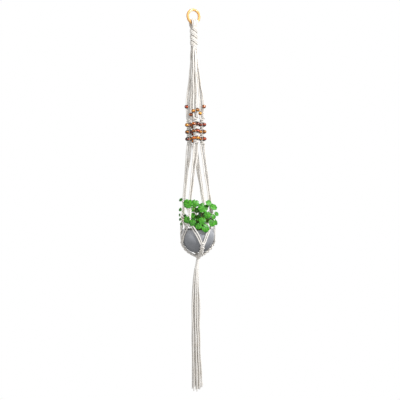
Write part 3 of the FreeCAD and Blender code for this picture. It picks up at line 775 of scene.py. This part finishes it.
def make_beads(name):
    """The beads that the knots hold, and the two loose ones above them."""
    places = band_places(name)[:2]
    held = Build()
    for (top, height), tones in zip(knot_tops(name), TONES[name]):
        for place, tone in zip(places, tones):
            centre = facing_point(*place, top - height - KNOT_GAP - BEAD_HEIGHT / 2)
            if top > knot_tops(name)[-1][0]:
                add_lathe(held, bead_outline(), centre, 32, tone, shades=bead_shades())
    held.make(f"{name}_held_beads", BEAD_TONES, "harness", [f"{name}_beads"])
    for number, (place, height) in enumerate(zip(places, BANDS[name][2]), 1):
        loose = Build()
        add_lathe(loose, bead_outline(), facing_point(*place, height), 32, shades=bead_shades())
        node = f"{name}_loose_bead_{number}"
        loose.make(f"{node}_wood", [BEAD_TONES[TONES[name][3][number - 1]]], node, [node])


def wavy(start, end, count, wave, chance):
    """Points from start to end, each between them moved a little sideways."""
    points = [start]
    for step in range(1, count):
        point = start.lerp(end, step / count)
        points.append(point + Vector((chance.uniform(-wave, wave), chance.uniform(-wave, wave), 0)))
    return points + [end]


def bowed(start, end, point):
    """The point moved in towards the start's upright, as slack cords hang before they spread."""
    share = (start.z - point.z) / (start.z - end.z)
    late = (end - start) * (share ** UPPER_BOW - share)
    return point + Vector((late.x, late.y, 0))


def make_upper_cords(name):
    """Four cords from the crown's mouth, a little slack, then straight down through the loose beads."""
    build = Build()
    chance = random.Random(ARM_NAMES.index(name) + 3)
    first_top = knot_tops(name)[0][0]
    for number, (start, end) in enumerate(zip(crown_places(name), band_places(name))):
        inside = facing_point(start[0] * 0.7, start[1] * 0.7, crown_low.z + 0.008)
        mouth = facing_point(*start, crown_low.z - 0.002)
        straight = facing_point(*end, STRAIGHT_TOP_Z)
        waves = wavy(mouth, straight, 7, UPPER_WAVE, chance)
        points = [inside] + [bowed(mouth, straight, point) for point in waves]
        points += [facing_point(*end, STRAIGHT_TOP_Z - 0.015), facing_point(*end, first_top + 0.001)]
        add_rope(build, points, number * 2.1)
    build.make(f"{name}_upper_rope", [cotton], "harness", [f"{name}_upper_cords"])


def rim_corners(name):
    """The four cords' places at the rim knot's top: two outside, then two inside."""
    half = CORD_PITCH / 2
    spread = math.degrees(half / RIM_KNOT_REACH)
    corners = [(-spread, half), (spread, half), (-spread, -half), (spread, -half)]
    places = []
    for corner in RIM_ORDERS[name]:
        sideways, outward = corners[corner]
        direction = RIM_DIRECTIONS[name] + sideways
        places.append(polar(direction, RIM_KNOT_REACH + outward, rim_knot_high.z - 0.001))
    return places


def make_lower_cords(name):
    """Four cords from the last knot to the rim knot, nearly straight under the pot's weight."""
    build = Build()
    chance = random.Random(ARM_NAMES.index(name) + 11)
    top, height = knot_tops(name)[-1]
    bottom = top - height
    for number, (place, end) in enumerate(zip(band_places(name), rim_corners(name))):
        start = facing_point(*place, bottom - 0.001)
        add_rope(build, wavy(start, end, 9, LOWER_WAVE, chance), number * 1.9 + 0.4)
    build.make(f"{name}_lower_rope", [cotton], "harness", [f"{name}_lower_cords"])


# ---- the net that holds the pot ----
RIM_KNOT_HALF = 0.0052
NET_ROUTES = (((27.0, 0.0476, -0.585), (12.0, 0.047, -0.606), (2.5, None, -0.627)),
              ((34.5, 0.045, -0.588), (18.8, 0.0466, -0.608), (8.0, None, -0.628)))
SINNET_OFFSET = 0.0036
SINNET_END = 0.0082
SINNET_KNOTS = 5
NET_WAVE = 0.0004


def belly_radius():
    """The radius of the arc from the pot's widest circle down to its base."""
    step = POT_WIDEST_RADIUS - POT_BASE_RADIUS
    drop = POT_WIDEST_Z - pot_low.z
    return (step ** 2 + drop ** 2) / (2 * step)


def belly_reach(offset, height):
    """How far from the axis the pot's lower arc is at a height, moved outwards by an offset."""
    radius = belly_radius() + offset
    return POT_WIDEST_RADIUS - belly_radius() + math.sqrt(radius ** 2 - (POT_WIDEST_Z - height) ** 2)


def make_rim_knots():
    """A square knot where each arm's four cords meet, and part in two pairs."""
    build = Build()
    top, low = rim_knot_high.z, rim_knot_low.z
    for number, direction in enumerate(RIM_DIRECTIONS.values()):
        angle = math.radians(direction)
        outward = Vector((math.cos(angle), math.sin(angle), 0))
        sideways = Vector((-math.sin(angle), math.cos(angle), 0))
        middle = outward * RIM_KNOT_REACH

        def place(point):
            return middle + sideways * point[0] - outward * point[1] + Vector((0, 0, point[2]))

        half = CORD_PITCH / 2
        front, back, cores = knot_turns(top, top - low, RIM_KNOT_HALF, -0.0035, 0.0035, 0.0018)
        ends = [[(side * half, -half, top + 0.001)] for side in (-1, 1)]
        routes = [ends[0] + front + [(-half, -half, low - 0.001)],
                  ends[1] + back + [(half, -half, low - 0.001)]]
        for side, core in zip((-1, 1), cores):
            routes.append([(side * half, half, top + 0.001)] + core + [(side * half, half, low - 0.001)])
        for cord, route in enumerate(routes):
            add_rope(build, [place(point) for point in route], cord + number)
    build.make("rim_knot_cords", [cotton], "harness", ["rim_knots"])


def make_net_cords(side, direction):
    """The two cord pairs that come down round the pot from two rim knots to one sinnet."""
    build = Build()
    chance = random.Random(len(side) * 5 + direction)
    leave = 45 - math.degrees(CORD_PITCH / 2 / RIM_KNOT_REACH)
    half = CORD_PITCH / 2
    for turn in (-1, 1):
        for start_reach, route in zip((RIM_KNOT_REACH + half, RIM_KNOT_REACH - half), NET_ROUTES):
            points = [polar(direction + turn * leave, start_reach, rim_knot_low.z + 0.002)]
            for angle, reach, height in route:
                if reach is None:
                    reach = belly_reach(SINNET_OFFSET, SINNET_TOP_Z)
                out = chance.uniform(0, NET_WAVE)
                points.append(polar(direction + turn * angle, reach + out, height))
            last_angle, _, last_height = route[-1]
            end_reach = points[-1].xy.length - 0.0005
            points.append(polar(direction + turn * last_angle * 0.6, end_reach, last_height - 0.005))
            add_rope(build, rounded_route(points), direction + turn)
    build.make(f"{side}_net_rope", [cotton], "harness", [f"{side}_net_cords"])


def rounded_route(points):
    """The same route with a point added in the middle of each run, so its curve keeps close to it."""
    result = [points[0]]
    for before, after in zip(points, points[1:]):
        result += [before.lerp(after, 0.5), after]
    return result


def sinnet_path(share):
    """A cradle sinnet's middle line: (reach, height), with the outward way, at a share of its length."""
    low_x = POT_WIDEST_RADIUS - belly_radius()
    span = math.atan2(POT_WIDEST_Z - pot_low.z, POT_BASE_RADIUS - low_x)
    radius = belly_radius() + SINNET_OFFSET
    first = math.asin((POT_WIDEST_Z - SINNET_TOP_Z) / radius)
    low = (low_x + radius * math.cos(span), POT_WIDEST_Z - radius * math.sin(span))
    run = (low[0] - SINNET_END) / math.sin(span)
    bend = radius * (span - first)
    along = share * (bend + run)
    if along < bend:
        angle = first + along / radius
        return ((low_x + radius * math.cos(angle), POT_WIDEST_Z - radius * math.sin(angle)),
                (math.cos(angle), -math.sin(angle)))
    past = along - bend
    return ((low[0] - past * math.sin(span), low[1] - past * math.cos(span)),
            (math.cos(span), -math.sin(span)))


def make_sinnet(side, direction):
    """Square knots one below the other, along the pot's side to the gathering knot."""
    build = Build()
    workers = [[], []]
    cores = [[], []]
    for knot in range(SINNET_KNOTS):
        front, back, fillers = knot_turns(-knot, 1.0, 0.0049, 0.0030, -0.0012, 0.0018)
        workers[0] += front
        workers[1] += back
        for core, filler in zip(cores, fillers):
            core += filler
    for number, route in enumerate(workers + cores):
        points = []
        for across, out, level in route:
            share = min(max(-level / SINNET_KNOTS, 0), 1)
            (reach, height), (out_reach, out_height) = sinnet_path(share)
            narrow = 1 - 0.35 * max(0, (share - 0.7) / 0.3)
            radial = reach + out * out_reach
            angle = math.radians(direction)
            sideways = across * narrow
            points.append(Vector((radial * math.cos(angle) - sideways * math.sin(angle),
                                  radial * math.sin(angle) + sideways * math.cos(angle),
                                  height + out * out_height)))
        add_rope(build, points, number * 1.4)
    build.make(f"{side}_sinnet_cords", [cotton], "harness", [f"{side}_sinnet"])


# ---- the gathering knot and the tassel ----
GATHER_WRAPS = 2.6
GATHER_REACH = 0.0072
DOME_REACH = 0.0054
DOME_GAP = 0.0003
NECK_LEAN = math.radians(10)
NECK_BOTTOM_Z = -0.703
NECK_SQUEEZE = 0.70
TASSEL_TIGHTEN = 0.0018


def make_gathering_knot():
    """Wraps of cord round all the others, closed below by a round coil that the tassel swings on."""
    build = Build()
    points = []
    steps = int(GATHER_WRAPS * 26)
    top = -0.6625
    for step in range(steps + 1):
        angle = 2 * math.pi * GATHER_WRAPS * step / steps
        height = top + (TASSEL_PIVOT_Z - 0.0008 - top) * step / steps
        points.append(Vector((GATHER_REACH * math.cos(angle), GATHER_REACH * math.sin(angle), height)))
    for step in range(1, 79):
        angle = 2 * math.pi * (GATHER_WRAPS + 3 * step / 78)
        down = math.radians(8 + 70 * step / 78)
        reach = DOME_REACH * math.cos(down)
        height = TASSEL_PIVOT_Z - 0.0005 - DOME_REACH * math.sin(down)
        points.append(Vector((reach * math.cos(angle), reach * math.sin(angle), height)))
    add_rope(build, points, 0.3, smooth=False)
    for core in range(6):
        angle = 2 * math.pi * core / 6
        middle = Vector((0.0036 * math.cos(angle), 0.0036 * math.sin(angle), 0))
        add_rope(build, [middle + Vector((0, 0, -0.6585)), middle + Vector((0, 0, -0.664)),
                         middle * 0.6 + Vector((0, 0, -0.670))], core)
    build.make("gathering_cords", [cotton], "harness", ["gathering_knot"])


# A tassel cord's points, as (x, y) at these heights. A last point with three numbers is its own end.
TASSEL_LEVELS = (-0.703, -0.734, -0.768, -0.81, -0.853, -0.898, -0.943, -0.99)
TASSEL_ROUTES = [
    # the left column, front to back
    [(-0.0116, -0.0038), (-0.0145, -0.0039), (-0.0179, -0.0044), (-0.0218, -0.005), (-0.0209, -0.0053),
     (-0.0198, -0.0056), (-0.0218, -0.0062), (-0.0202, -0.0054), (-0.0224, -0.0068, -1.036)],
    [(-0.0116, 0.0), (-0.0147, 0.0001), (-0.0172, -0.0002), (-0.0184, 0.0004), (-0.0212, -0.0003),
     (-0.0209, 0.0006), (-0.02, -0.0004), (-0.0222, 0.0007), (-0.021, 0.0, -1.028)],
    [(-0.0116, 0.0038), (-0.0146, 0.0037), (-0.0176, 0.0043), (-0.0196, 0.0049), (-0.0198, 0.0046),
     (-0.0213, 0.0058), (-0.021, 0.005), (-0.0219, 0.0064), (-0.023, 0.0058, -1.033)],
    # the column left of the middle
    [(-0.0079, -0.0075), (-0.0108, -0.0077), (-0.0131, -0.0086), (-0.0132, -0.0096), (-0.0154, -0.0094),
     (-0.0138, -0.0109), (-0.0152, -0.0106), (-0.013, -0.0124), (-0.0148, -0.0122, -1.037)],
    [(-0.0079, -0.0038), (-0.0109, -0.0038), (-0.0126, -0.004), (-0.0143, -0.0044), (-0.0142, -0.0053),
     (-0.0152, -0.0048), (-0.0134, -0.0059), (-0.0154, -0.005), (-0.0136, -0.0066, -1.03)],
    [(-0.0079, 0.0), (-0.011, -0.0001), (-0.0129, 0.0002), (-0.0133, -0.0004), (-0.0153, 0.0005),
     (-0.014, -0.0005), (-0.015, 0.0006), (-0.0131, -0.0006), (-0.014, 0.0005, -1.035)],
    [(-0.0079, 0.0038), (-0.0108, 0.0039), (-0.0125, 0.0042), (-0.0142, 0.0043), (-0.0144, 0.0053),
     (-0.0151, 0.0047), (-0.0136, 0.0059), (-0.0152, 0.0052), (-0.0142, 0.0066, -1.026)],
    [(-0.0079, 0.0075), (-0.0109, 0.0077), (-0.013, 0.0082), (-0.0134, 0.0095), (-0.0152, 0.0094),
     (-0.0139, 0.0108), (-0.0149, 0.0106), (-0.0132, 0.0123), (-0.0149, 0.0126, -1.031)],
    # the column right of the middle
    [(-0.0041, -0.0075), (-0.007, -0.0076), (-0.0084, -0.0086), (-0.0077, -0.0089), (-0.0099, -0.0102),
     (-0.0078, -0.0101), (-0.0089, -0.0116), (-0.0058, -0.0112), (-0.0079, -0.0126, -1.029)],
    [(-0.0041, -0.0038), (-0.0071, -0.0037), (-0.008, -0.0043), (-0.009, -0.0047), (-0.0086, -0.0046),
     (-0.0094, -0.0056), (-0.0067, -0.0051), (-0.0082, -0.0063), (-0.0054, -0.0054, -1.034)],
    [(-0.0041, 0.0), (-0.0072, 0.0001), (-0.0084, -0.0002), (-0.0079, 0.0004), (-0.0098, -0.0004),
     (-0.0077, 0.0005), (-0.0086, -0.0006), (-0.006, 0.0004), (-0.0076, -0.0004, -1.027)],
    [(-0.0041, 0.0038), (-0.007, 0.0037), (-0.008, 0.0044), (-0.009, 0.0044), (-0.0085, 0.0053),
     (-0.0093, 0.0049), (-0.007, 0.0059), (-0.0079, 0.0053), (-0.0056, 0.0065, -1.036)],
    [(-0.0041, 0.0075), (-0.0071, 0.0077), (-0.0085, 0.0086), (-0.0078, 0.009), (-0.0097, 0.0102),
     (-0.0079, 0.0101), (-0.0088, 0.0114), (-0.0061, 0.0112), (-0.0074, 0.0124, -1.032)],
    # the right column, whose first cord bows out and whose second curls at its end
    [(-0.0004, -0.0038), (-0.0034, -0.0039), (-0.0016, -0.0045), (0.0012, -0.0052), (-0.0032, -0.0053),
     (-0.0016, -0.0058), (-0.0024, -0.0052), (0.0014, -0.0066), (0.0006, -0.006, -1.028)],
    [(-0.0004, 0.0), (-0.0033, 0.0001), (-0.0034, -0.0002), (-0.0024, 0.0003), (-0.0044, -0.0003),
     (-0.0032, 0.0004), (0.0, -0.0004), (-0.0008, 0.0003), (0.0036, -0.0012, -1.025)],
    [(-0.0004, 0.0038), (-0.0031, 0.0038), (-0.003, 0.0044), (-0.0039, 0.0045), (-0.0028, 0.0054),
     (-0.0034, 0.005), (-0.0004, 0.0061), (0.0002, 0.0055), (-0.0004, 0.0072, -1.034)],
]


def tassel_points(route):
    points = [Vector((x, y, level)) for (x, y), level in zip(route[:-1], TASSEL_LEVELS)]
    return points + [Vector(route[-1])]


def tightened(point, share):
    """A tassel point drawn in towards the bunch's middle at the neck's end."""
    middle = Vector((-0.006, 0.0, point.z))
    away = Vector((point.x, point.y, point.z)) - middle
    reach = away.length
    if reach <= 0.001:
        return point
    return middle + away * max(0.3, 1 - share * TASSEL_TIGHTEN / max(reach, 0.0001))


NECK_OVERLAP = 0.0004           # how far a neck cord runs on into its tassel cord
NECK_LEVELS = (-0.684, -0.692)  # heights that a neck cord passes straight through
TIGHTENED_LENGTH = 0.030        # how much of the tassel's top is drawn in
STRAND_PHASE = 1.37             # each cord's twist starts this much further round than the last's


def make_neck():
    """The sixteen cords drawn together under the knot, their twist ending where the tassel's starts."""
    build = Build()
    for number, route in enumerate(TASSEL_ROUTES):
        bottom = tightened(tassel_points(route)[0], 1)
        middle_x = math.tan(NECK_LEAN) * (NECK_BOTTOM_Z - TASSEL_PIVOT_Z)
        aside = Vector((bottom.x - middle_x, bottom.y, 0)) * NECK_SQUEEZE
        drop = math.sqrt((DOME_REACH + CORD_RADIUS + DOME_GAP) ** 2 - min(aside.length, 0.0065) ** 2)
        points = []
        for height in (TASSEL_PIVOT_Z - drop, *NECK_LEVELS):
            lean = math.tan(NECK_LEAN) * (height - TASSEL_PIVOT_Z)
            points.append(Vector((lean + aside.x, aside.y, height)))
        points += [points[-1].lerp(bottom, 0.62) + Vector((0, 0, 0.0005)),
                   bottom - Vector((0, 0, NECK_OVERLAP))]
        line = smooth_line(points)
        turned = 2 * math.pi * (line_length(line) - NECK_OVERLAP) / LAY
        add_rope(build, line, number * STRAND_PHASE - turned, smooth=False, tapered=False)
    build.make("neck_cords", [cotton], "tassel", ["tassel_neck"])


def make_tassel_cord(number, route):
    """One free cord of the tassel, twisted and frayed at its cut end."""
    points = tassel_points(route)
    line = smooth_line(points)
    shares = [max(0.0, 1 - (NECK_BOTTOM_Z - point[2]) / TIGHTENED_LENGTH) for point in line]
    drawn = np.array([tightened(Vector(point), share) for point, share in zip(line, shares)])
    build = Build()
    add_rope(build, drawn, number * STRAND_PHASE, frayed=True, smooth=False, tapered=False)
    node = f"tassel_cord_{number:02d}"
    cord = build.make(f"{node}_rope", [cotton], "tassel", [node])


# ---- the pot and what grows in it ----
pot_grey = pot_material()
soil_brown = soil_material()
# painted shade: one leaf green in three copies, lit, half shaded and shaded, given to the leaves by where
# they sit
LEAF_TONES = [leaf_material("leaf_lit", (0.012, 0.13, 0.004), (0.06, 0.36, 0.012), (0.22, 0.50, 0.05)),
              leaf_material("leaf_half_shaded", (0.008, 0.085, 0.004), (0.035, 0.25, 0.010), (0.13, 0.38, 0.04)),
              leaf_material("leaf_shaded", (0.004, 0.035, 0.003), (0.015, 0.12, 0.006), (0.06, 0.22, 0.025))]
stem_brown = stem_material()
POT_SIDES = 96


def make_pot():
    """A round-bottomed bowl with a soft rim and a low foot ring."""
    outline = [(0.0001, pot_low.z + 0.0012), (0.0175, pot_low.z + 0.0012), (0.0185, pot_low.z)]
    for step in range(25):
        height = pot_low.z + 0.0004 + (POT_WIDEST_Z - pot_low.z - 0.0004) * step / 24
        outline.append((belly_reach(0, height), height))
    for step in range(1, 9):
        share = step / 8
        height = POT_WIDEST_Z + (pot_high.z - 0.0016 - POT_WIDEST_Z) * share
        swell = 0.0004 * math.sin(math.pi * share)
        reach = POT_WIDEST_RADIUS + (POT_RIM_RADIUS - POT_WIDEST_RADIUS) * share + swell
        outline.append((reach, height))
    for step in range(1, 8):
        angle = math.pi * step / 8
        outline.append((POT_RIM_RADIUS - 0.002 + 0.002 * math.cos(angle),
                        pot_high.z - 0.0016 + 0.0016 * math.sin(angle)))
    for share in (0, 0.3, 0.6, 1):
        height = pot_high.z - 0.0016 + (SOIL_TOP_Z - 0.002 - pot_high.z) * share
        outline.append((POT_RIM_RADIUS - POT_WALL + 0.0012 * share, height))
    outline += [(POT_RIM_RADIUS - POT_WALL - 0.002, SOIL_TOP_Z - 0.004), (0.0001, SOIL_TOP_Z - 0.006)]
    build = Build()
    add_lathe(build, outline, Vector((0, 0, 0)), POT_SIDES)
    build.make("bowl", [pot_grey], "pot", ["pot"])


def make_soil():
    """The soil's surface, uneven and crumbly."""
    chance = random.Random(5)
    reach = POT_RIM_RADIUS - POT_WALL + 0.0004
    rings, sides = 26, 90
    points = [Vector((0, 0, SOIL_TOP_Z))]
    for ring in range(1, rings + 1):
        for side in range(sides):
            angle = 2 * math.pi * (side + 0.5 * (ring % 2)) / sides
            out = reach * ring / rings
            edge = min(1, (rings - ring) / 3)
            lift = edge * (chance.uniform(-0.0006, 0.0012) + 0.0008 * math.sin(out * 400 + angle * 3))
            points.append(Vector((out * math.cos(angle), out * math.sin(angle), SOIL_TOP_Z + lift)))
    faces = [(0, 1 + side, 1 + (side + 1) % sides) for side in range(sides)]
    for ring in range(rings - 1):
        for side in range(sides):
            beside = (side + 1) % sides
            low = 1 + ring * sides
            faces.append((low + side, low + sides + side, low + sides + beside, low + beside))
    build = Build()
    build.add(points, faces)
    build.make("soil_top", [soil_brown], "pot", ["soil"])


LEAF_RINGS = 11
LEAF_SIDES = 54
LEAF_VEINS = 9
LEAF_SCALLOPS = 9
LEAF_THICKNESS = 0.00045


def leaf_frame(round_by, up_by):
    """A leaf's sideways, tip and face directions."""
    turn = Matrix.Rotation(math.radians(FACING + round_by), 3, "Z")
    lift = Matrix.Rotation(math.radians(90 - up_by), 3, "X")
    return [turn @ lift @ Vector(axis) for axis in ((1, 0, 0), (0, -1, 0), (0, 0, 1))]


def add_leaf(build, veins, centre, radius, facing, tone, chance):
    """A rounded leaf with a scalloped edge, cupped, with veins out from its stalk's end."""
    sideways, tip, face = facing
    spin = chance.uniform(-0.9, 0.9)
    cup = chance.uniform(0.10, 0.28)
    fold = chance.uniform(0.04, 0.14)
    ripple = chance.uniform(0.02, 0.05)
    phase = chance.uniform(0, 6)
    scallops = LEAF_SCALLOPS + chance.randint(-2, 2)
    depth = chance.uniform(0.03, 0.11)
    lopsided = chance.uniform(0.01, 0.06)
    layers = []
    for under in (0, 1):
        layer = [(0.0, 0.0, 0.0)]
        for ring in range(1, LEAF_RINGS + 1):
            share = ring / LEAF_RINGS
            for side in range(LEAF_SIDES):
                angle = 2 * math.pi * side / LEAF_SIDES
                scallop = 1 - depth * abs(math.sin(scallops * angle / 2 + phase)) ** 3 * share ** 4
                notch = 1 - 0.30 * math.exp(-((abs(angle - math.pi) / 0.20) ** 2))
                wide = 1 + lopsided * (math.sin(2 * angle + 2 * phase) - 1)
                out = radius * share * scallop * notch * wide
                vein = abs(math.sin(LEAF_VEINS * angle / 2))
                lift = radius * (-cup * share ** 2 + fold * abs(math.sin(angle)) * share
                                 + ripple * math.sin(scallops * angle + phase) * share ** 3
                                 + 0.012 * min(1, vein * 2.5) * share)
                layer.append((out * math.sin(angle), -out * math.cos(angle), lift - under * LEAF_THICKNESS))
                if not under:
                    veins.append(0.55 * max(0.0, 1 - vein * (2.2 + 5 * share)) * (1 - 0.6 * share))
                else:
                    veins.append(0.35)
        layers.append(layer)
        veins.insert(len(veins) - LEAF_RINGS * LEAF_SIDES, 0.6)
    size = 1 + LEAF_RINGS * LEAF_SIDES
    faces = []
    for under, flip in ((0, False), (size, True)):
        for side in range(LEAF_SIDES):
            beside = (side + 1) % LEAF_SIDES
            face_here = (under, under + 1 + side, under + 1 + beside)
            faces.append(face_here[::-1] if flip else face_here)
            for ring in range(LEAF_RINGS - 1):
                low = under + 1 + ring * LEAF_SIDES
                quad = (low + side, low + LEAF_SIDES + side, low + LEAF_SIDES + beside, low + beside)
                faces.append(quad[::-1] if flip else quad)
    edge = 1 + (LEAF_RINGS - 1) * LEAF_SIDES
    for side in range(LEAF_SIDES):
        beside = (side + 1) % LEAF_SIDES
        faces.append((edge + side, size + edge + side, size + edge + beside, edge + beside))
    points = []
    for layer in layers:
        for across, along, lift in layer:
            turned_across = across * math.cos(spin) - along * math.sin(spin)
            turned_along = across * math.sin(spin) + along * math.cos(spin)
            raised = face * (lift + radius * cup * 0.4)
            points.append(centre + sideways * turned_across - tip * turned_along + raised)
    build.add(points, faces, tone)


EXTRA_LEAVES = 26
LEAF_SPREAD = 1.12              # the blades reach a little past the CAD's discs


def leaf_places():
    """The CAD's leaves, with smaller ones between them lower down and towards the middle."""
    # painted shade: the front leaves take the lit green, those behind take the half-shaded one
    places = [(leaf, 0 if leaf[1] < 0.004 else 1) for leaf in LEAVES]
    chance = random.Random(21)
    for number in range(EXTRA_LEAVES):
        right, behind, height, radius, round_by, up_by, _ = LEAVES[number % len(LEAVES)]
        share = chance.uniform(0.35, 0.8)
        low = Vector((right * share, behind * share + chance.uniform(-0.003, 0.006),
                      pot_high.z + (height - pot_high.z) * share + chance.uniform(-0.004, 0.006)))
        reach = min(0.0085, radius * chance.uniform(0.5, 0.85))
        leaf = (low.x, low.y, max(low.z, pot_high.z + 0.006), reach,
                round_by + chance.uniform(-40, 40), up_by + chance.uniform(-10, 25), 0)
        # painted shade: the smaller inner leaves take mostly the shaded green, the rest the half-shaded one
        places.append((leaf, 2 if number % 3 else 1))
    return places


def make_plant():
    """The leaves, and their stalks up from the soil."""
    chance = random.Random(9)
    leaves = Build()
    stalks = Build()
    veins = []
    for number, (leaf, tone) in enumerate(leaf_places()):
        right, behind, height, radius, round_by, up_by, aside = leaf
        centre = facing_point(right, behind, height)
        facing = leaf_frame(round_by, up_by)
        add_leaf(leaves, veins, centre, radius * LEAF_SPREAD, facing, tone, chance)
        centre = centre + polar(FACING + round_by, aside, 0)
        root = polar(number * STEM_SPREAD, STEM_ROOT_STEP * (1 + number % 3), SOIL_TOP_Z - 0.002)
        over_rim = max((root.z + centre.z) / 2, pot_high.z + STEM_CLEARANCE)
        rise = Vector((0.3 * centre.x + 0.7 * root.x, 0.3 * centre.y + 0.7 * root.y, over_rim))
        line = evenly(smooth_line([root, root.lerp(rise, 0.6), rise, rise.lerp(centre, 0.5),
                                   centre - facing[2] * 0.0004]), 0.003)
        width = 0.0008 if number < len(LEAVES) else 0.0006
        add_tube(stalks, line, np.linspace(width, width * 0.7, len(line)), sides=8)
    piece = leaves.make("leaf_blades", LEAF_TONES, "pot", ["leaves"])
    layer = piece.data.attributes.new("vein", "FLOAT", "POINT")
    layer.data.foreach_set("value", veins)
    stalks.make("stalks", [stem_brown], "pot", ["plant_stems"])


STEM_SPREAD = 138.0
STEM_ROOT_STEP = 0.005
STEM_CLEARANCE = 0.014
# Leaves: right of the axis, behind it, height, radius, the way each one faces as degrees round
# from the front and degrees up, and how far to its right its stalk joins it.
LEAVES = [
    (-0.025, -0.044, -0.519, 0.013, -15, 25, 0.01),
    (-0.006, -0.042, -0.519, 0.0105, 5, 15, 0),
    (0.015, -0.03, -0.532, 0.013, 5, 20, 0),
    (0.031, -0.029, -0.519, 0.0085, 20, 35, 0),
    (0.044, -0.03, -0.53, 0.01, 30, 40, -0.0015),
    (0.027, -0.037, -0.551, 0.0095, 0, 10, 0),
    (0.052, -0.004, -0.551, 0.0065, 40, 30, 0),
    (0.05, -0.004, -0.574, 0.008, 60, 10, 0),
    (0.021, -0.047, -0.586, 0.011, 20, 12, 0),
    (0.039, -0.037, -0.573, 0.01, 35, 12, 0),
    (0.013, -0.043, -0.566, 0.01, 0, 25, 0),
    (0.002, -0.048, -0.58, 0.0085, -10, 15, 0),
    (-0.029, -0.0495, -0.562, 0.0095, -30, 10, -0.009),
    (-0.015, -0.024, -0.552, 0.008, -10, 35, 0),
    (-0.014, -0.0515, -0.5705, 0.009, -15, 6, 0.003),
    (-0.045, -0.005, -0.51, 0.0055, -40, 40, 0),
    (-0.047, -0.006, -0.537, 0.0055, -50, 20, 0),
    (-0.049, -0.006, -0.552, 0.004, -60, 10, 0),
    (-0.048, -0.006, -0.564, 0.004, -50, 10, 0),
    (-0.046, -0.006, -0.577, 0.0045, -60, 5, 0),
    (0.044, -0.036, -0.556, 0.007, 35, 15, 0),
    (-0.014, -0.012, -0.537, 0.007, 0, 25, 0),
    (0.003, -0.017, -0.56, 0.009, 10, 20, 0),
    (0.024, -0.012, -0.566, 0.009, 20, 20, 0),
    (-0.004, 0.014, -0.54, 0.011, 160, 35, 0),
    (0.014, 0.022, -0.558, 0.01, 200, 25, 0),
    (-0.018, 0.022, -0.566, 0.009, 150, 25, 0),
    (0.002, 0.028, -0.58, 0.009, 180, 15, 0),
]

make_ring()
make_ring_loops()
make_crown()
for arm in ARM_NAMES:
    make_upper_cords(arm)
    make_knots(arm)
    make_beads(arm)
    make_lower_cords(arm)
make_rim_knots()
for side_name, side_direction in SINNETS:
    make_net_cords(side_name, side_direction)
    make_sinnet(side_name, side_direction)
make_gathering_knot()
make_neck()
for cord_number, cord_route in enumerate(TASSEL_ROUTES, 1):
    make_tassel_cord(cord_number, cord_route)
make_pot()
make_soil()
make_plant()

# ---- camera, light and backdrop ----
VIEW_AZIMUTH = math.radians(-16)
VIEW_ELEVATION = math.radians(3)
VIEW_ROLL = math.radians(-1.16)
VIEW_DISTANCE = 2.4
FRAME_WIDTH = 1.096
SENSOR = 36.0
AMBIENT = 0.62

scene = bpy.context.scene
camera_data = bpy.data.cameras.new("camera")
camera_data.sensor_width = SENSOR
camera_data.lens = SENSOR * VIEW_DISTANCE / FRAME_WIDTH
camera = bpy.data.objects.new("camera", camera_data)
scene.collection.objects.link(camera)
back = Vector((math.sin(VIEW_AZIMUTH) * math.cos(VIEW_ELEVATION),
               -math.cos(VIEW_AZIMUTH) * math.cos(VIEW_ELEVATION), math.sin(VIEW_ELEVATION)))
right_way = Vector((math.cos(VIEW_AZIMUTH), math.sin(VIEW_AZIMUTH), 0))
target = Vector((0, 0, -0.5125)) + right_way * 0.0077
turn_matrix = (-back).to_track_quat("-Z", "Y").to_matrix().to_4x4() @ Matrix.Rotation(VIEW_ROLL, 4, "Z")
camera.matrix_world = Matrix.Translation(target + back * VIEW_DISTANCE) @ turn_matrix
scene.camera = camera
scene.view_settings.view_transform = "Standard"


def area_light(name, place, aim, size, power):
    data = bpy.data.lights.new(name, "AREA")
    data.shape = "DISK"
    data.size = size
    data.energy = power
    light = bpy.data.objects.new(name, data)
    scene.collection.objects.link(light)
    turn = (aim - place).to_track_quat("-Z", "Y").to_matrix().to_4x4()
    light.matrix_world = Matrix.Translation(place) @ turn


area_light("key", Vector((1.0, -1.5, 0.9)), Vector((0, 0, -0.45)), 0.5, 62)
area_light("rear", Vector((0.6, 1.8, 0.3)), Vector((0, 0, -0.5)), 1.2, 18)
area_light("fill", Vector((-1.5, -1.2, -0.2)), Vector((0, 0, -0.5)), 0.9, 7)

world = bpy.data.worlds.new("world")
world.use_nodes = True
background = world.node_tree.nodes["Background"]
background.inputs["Color"].default_value = (1, 1, 1, 1)
background.inputs["Strength"].default_value = 1.0
dim = world.node_tree.nodes.new("ShaderNodeBackground")
dim.inputs["Strength"].default_value = AMBIENT
chosen = world.node_tree.nodes.new("ShaderNodeMixShader")
rays = world.node_tree.nodes.new("ShaderNodeLightPath")
world.node_tree.links.new(rays.outputs["Is Camera Ray"], chosen.inputs["Fac"])
world.node_tree.links.new(dim.outputs["Background"], chosen.inputs[1])
world.node_tree.links.new(background.outputs["Background"], chosen.inputs[2])
world.node_tree.links.new(chosen.outputs["Shader"], world.node_tree.nodes["World Output"].inputs["Surface"])
scene.world = world
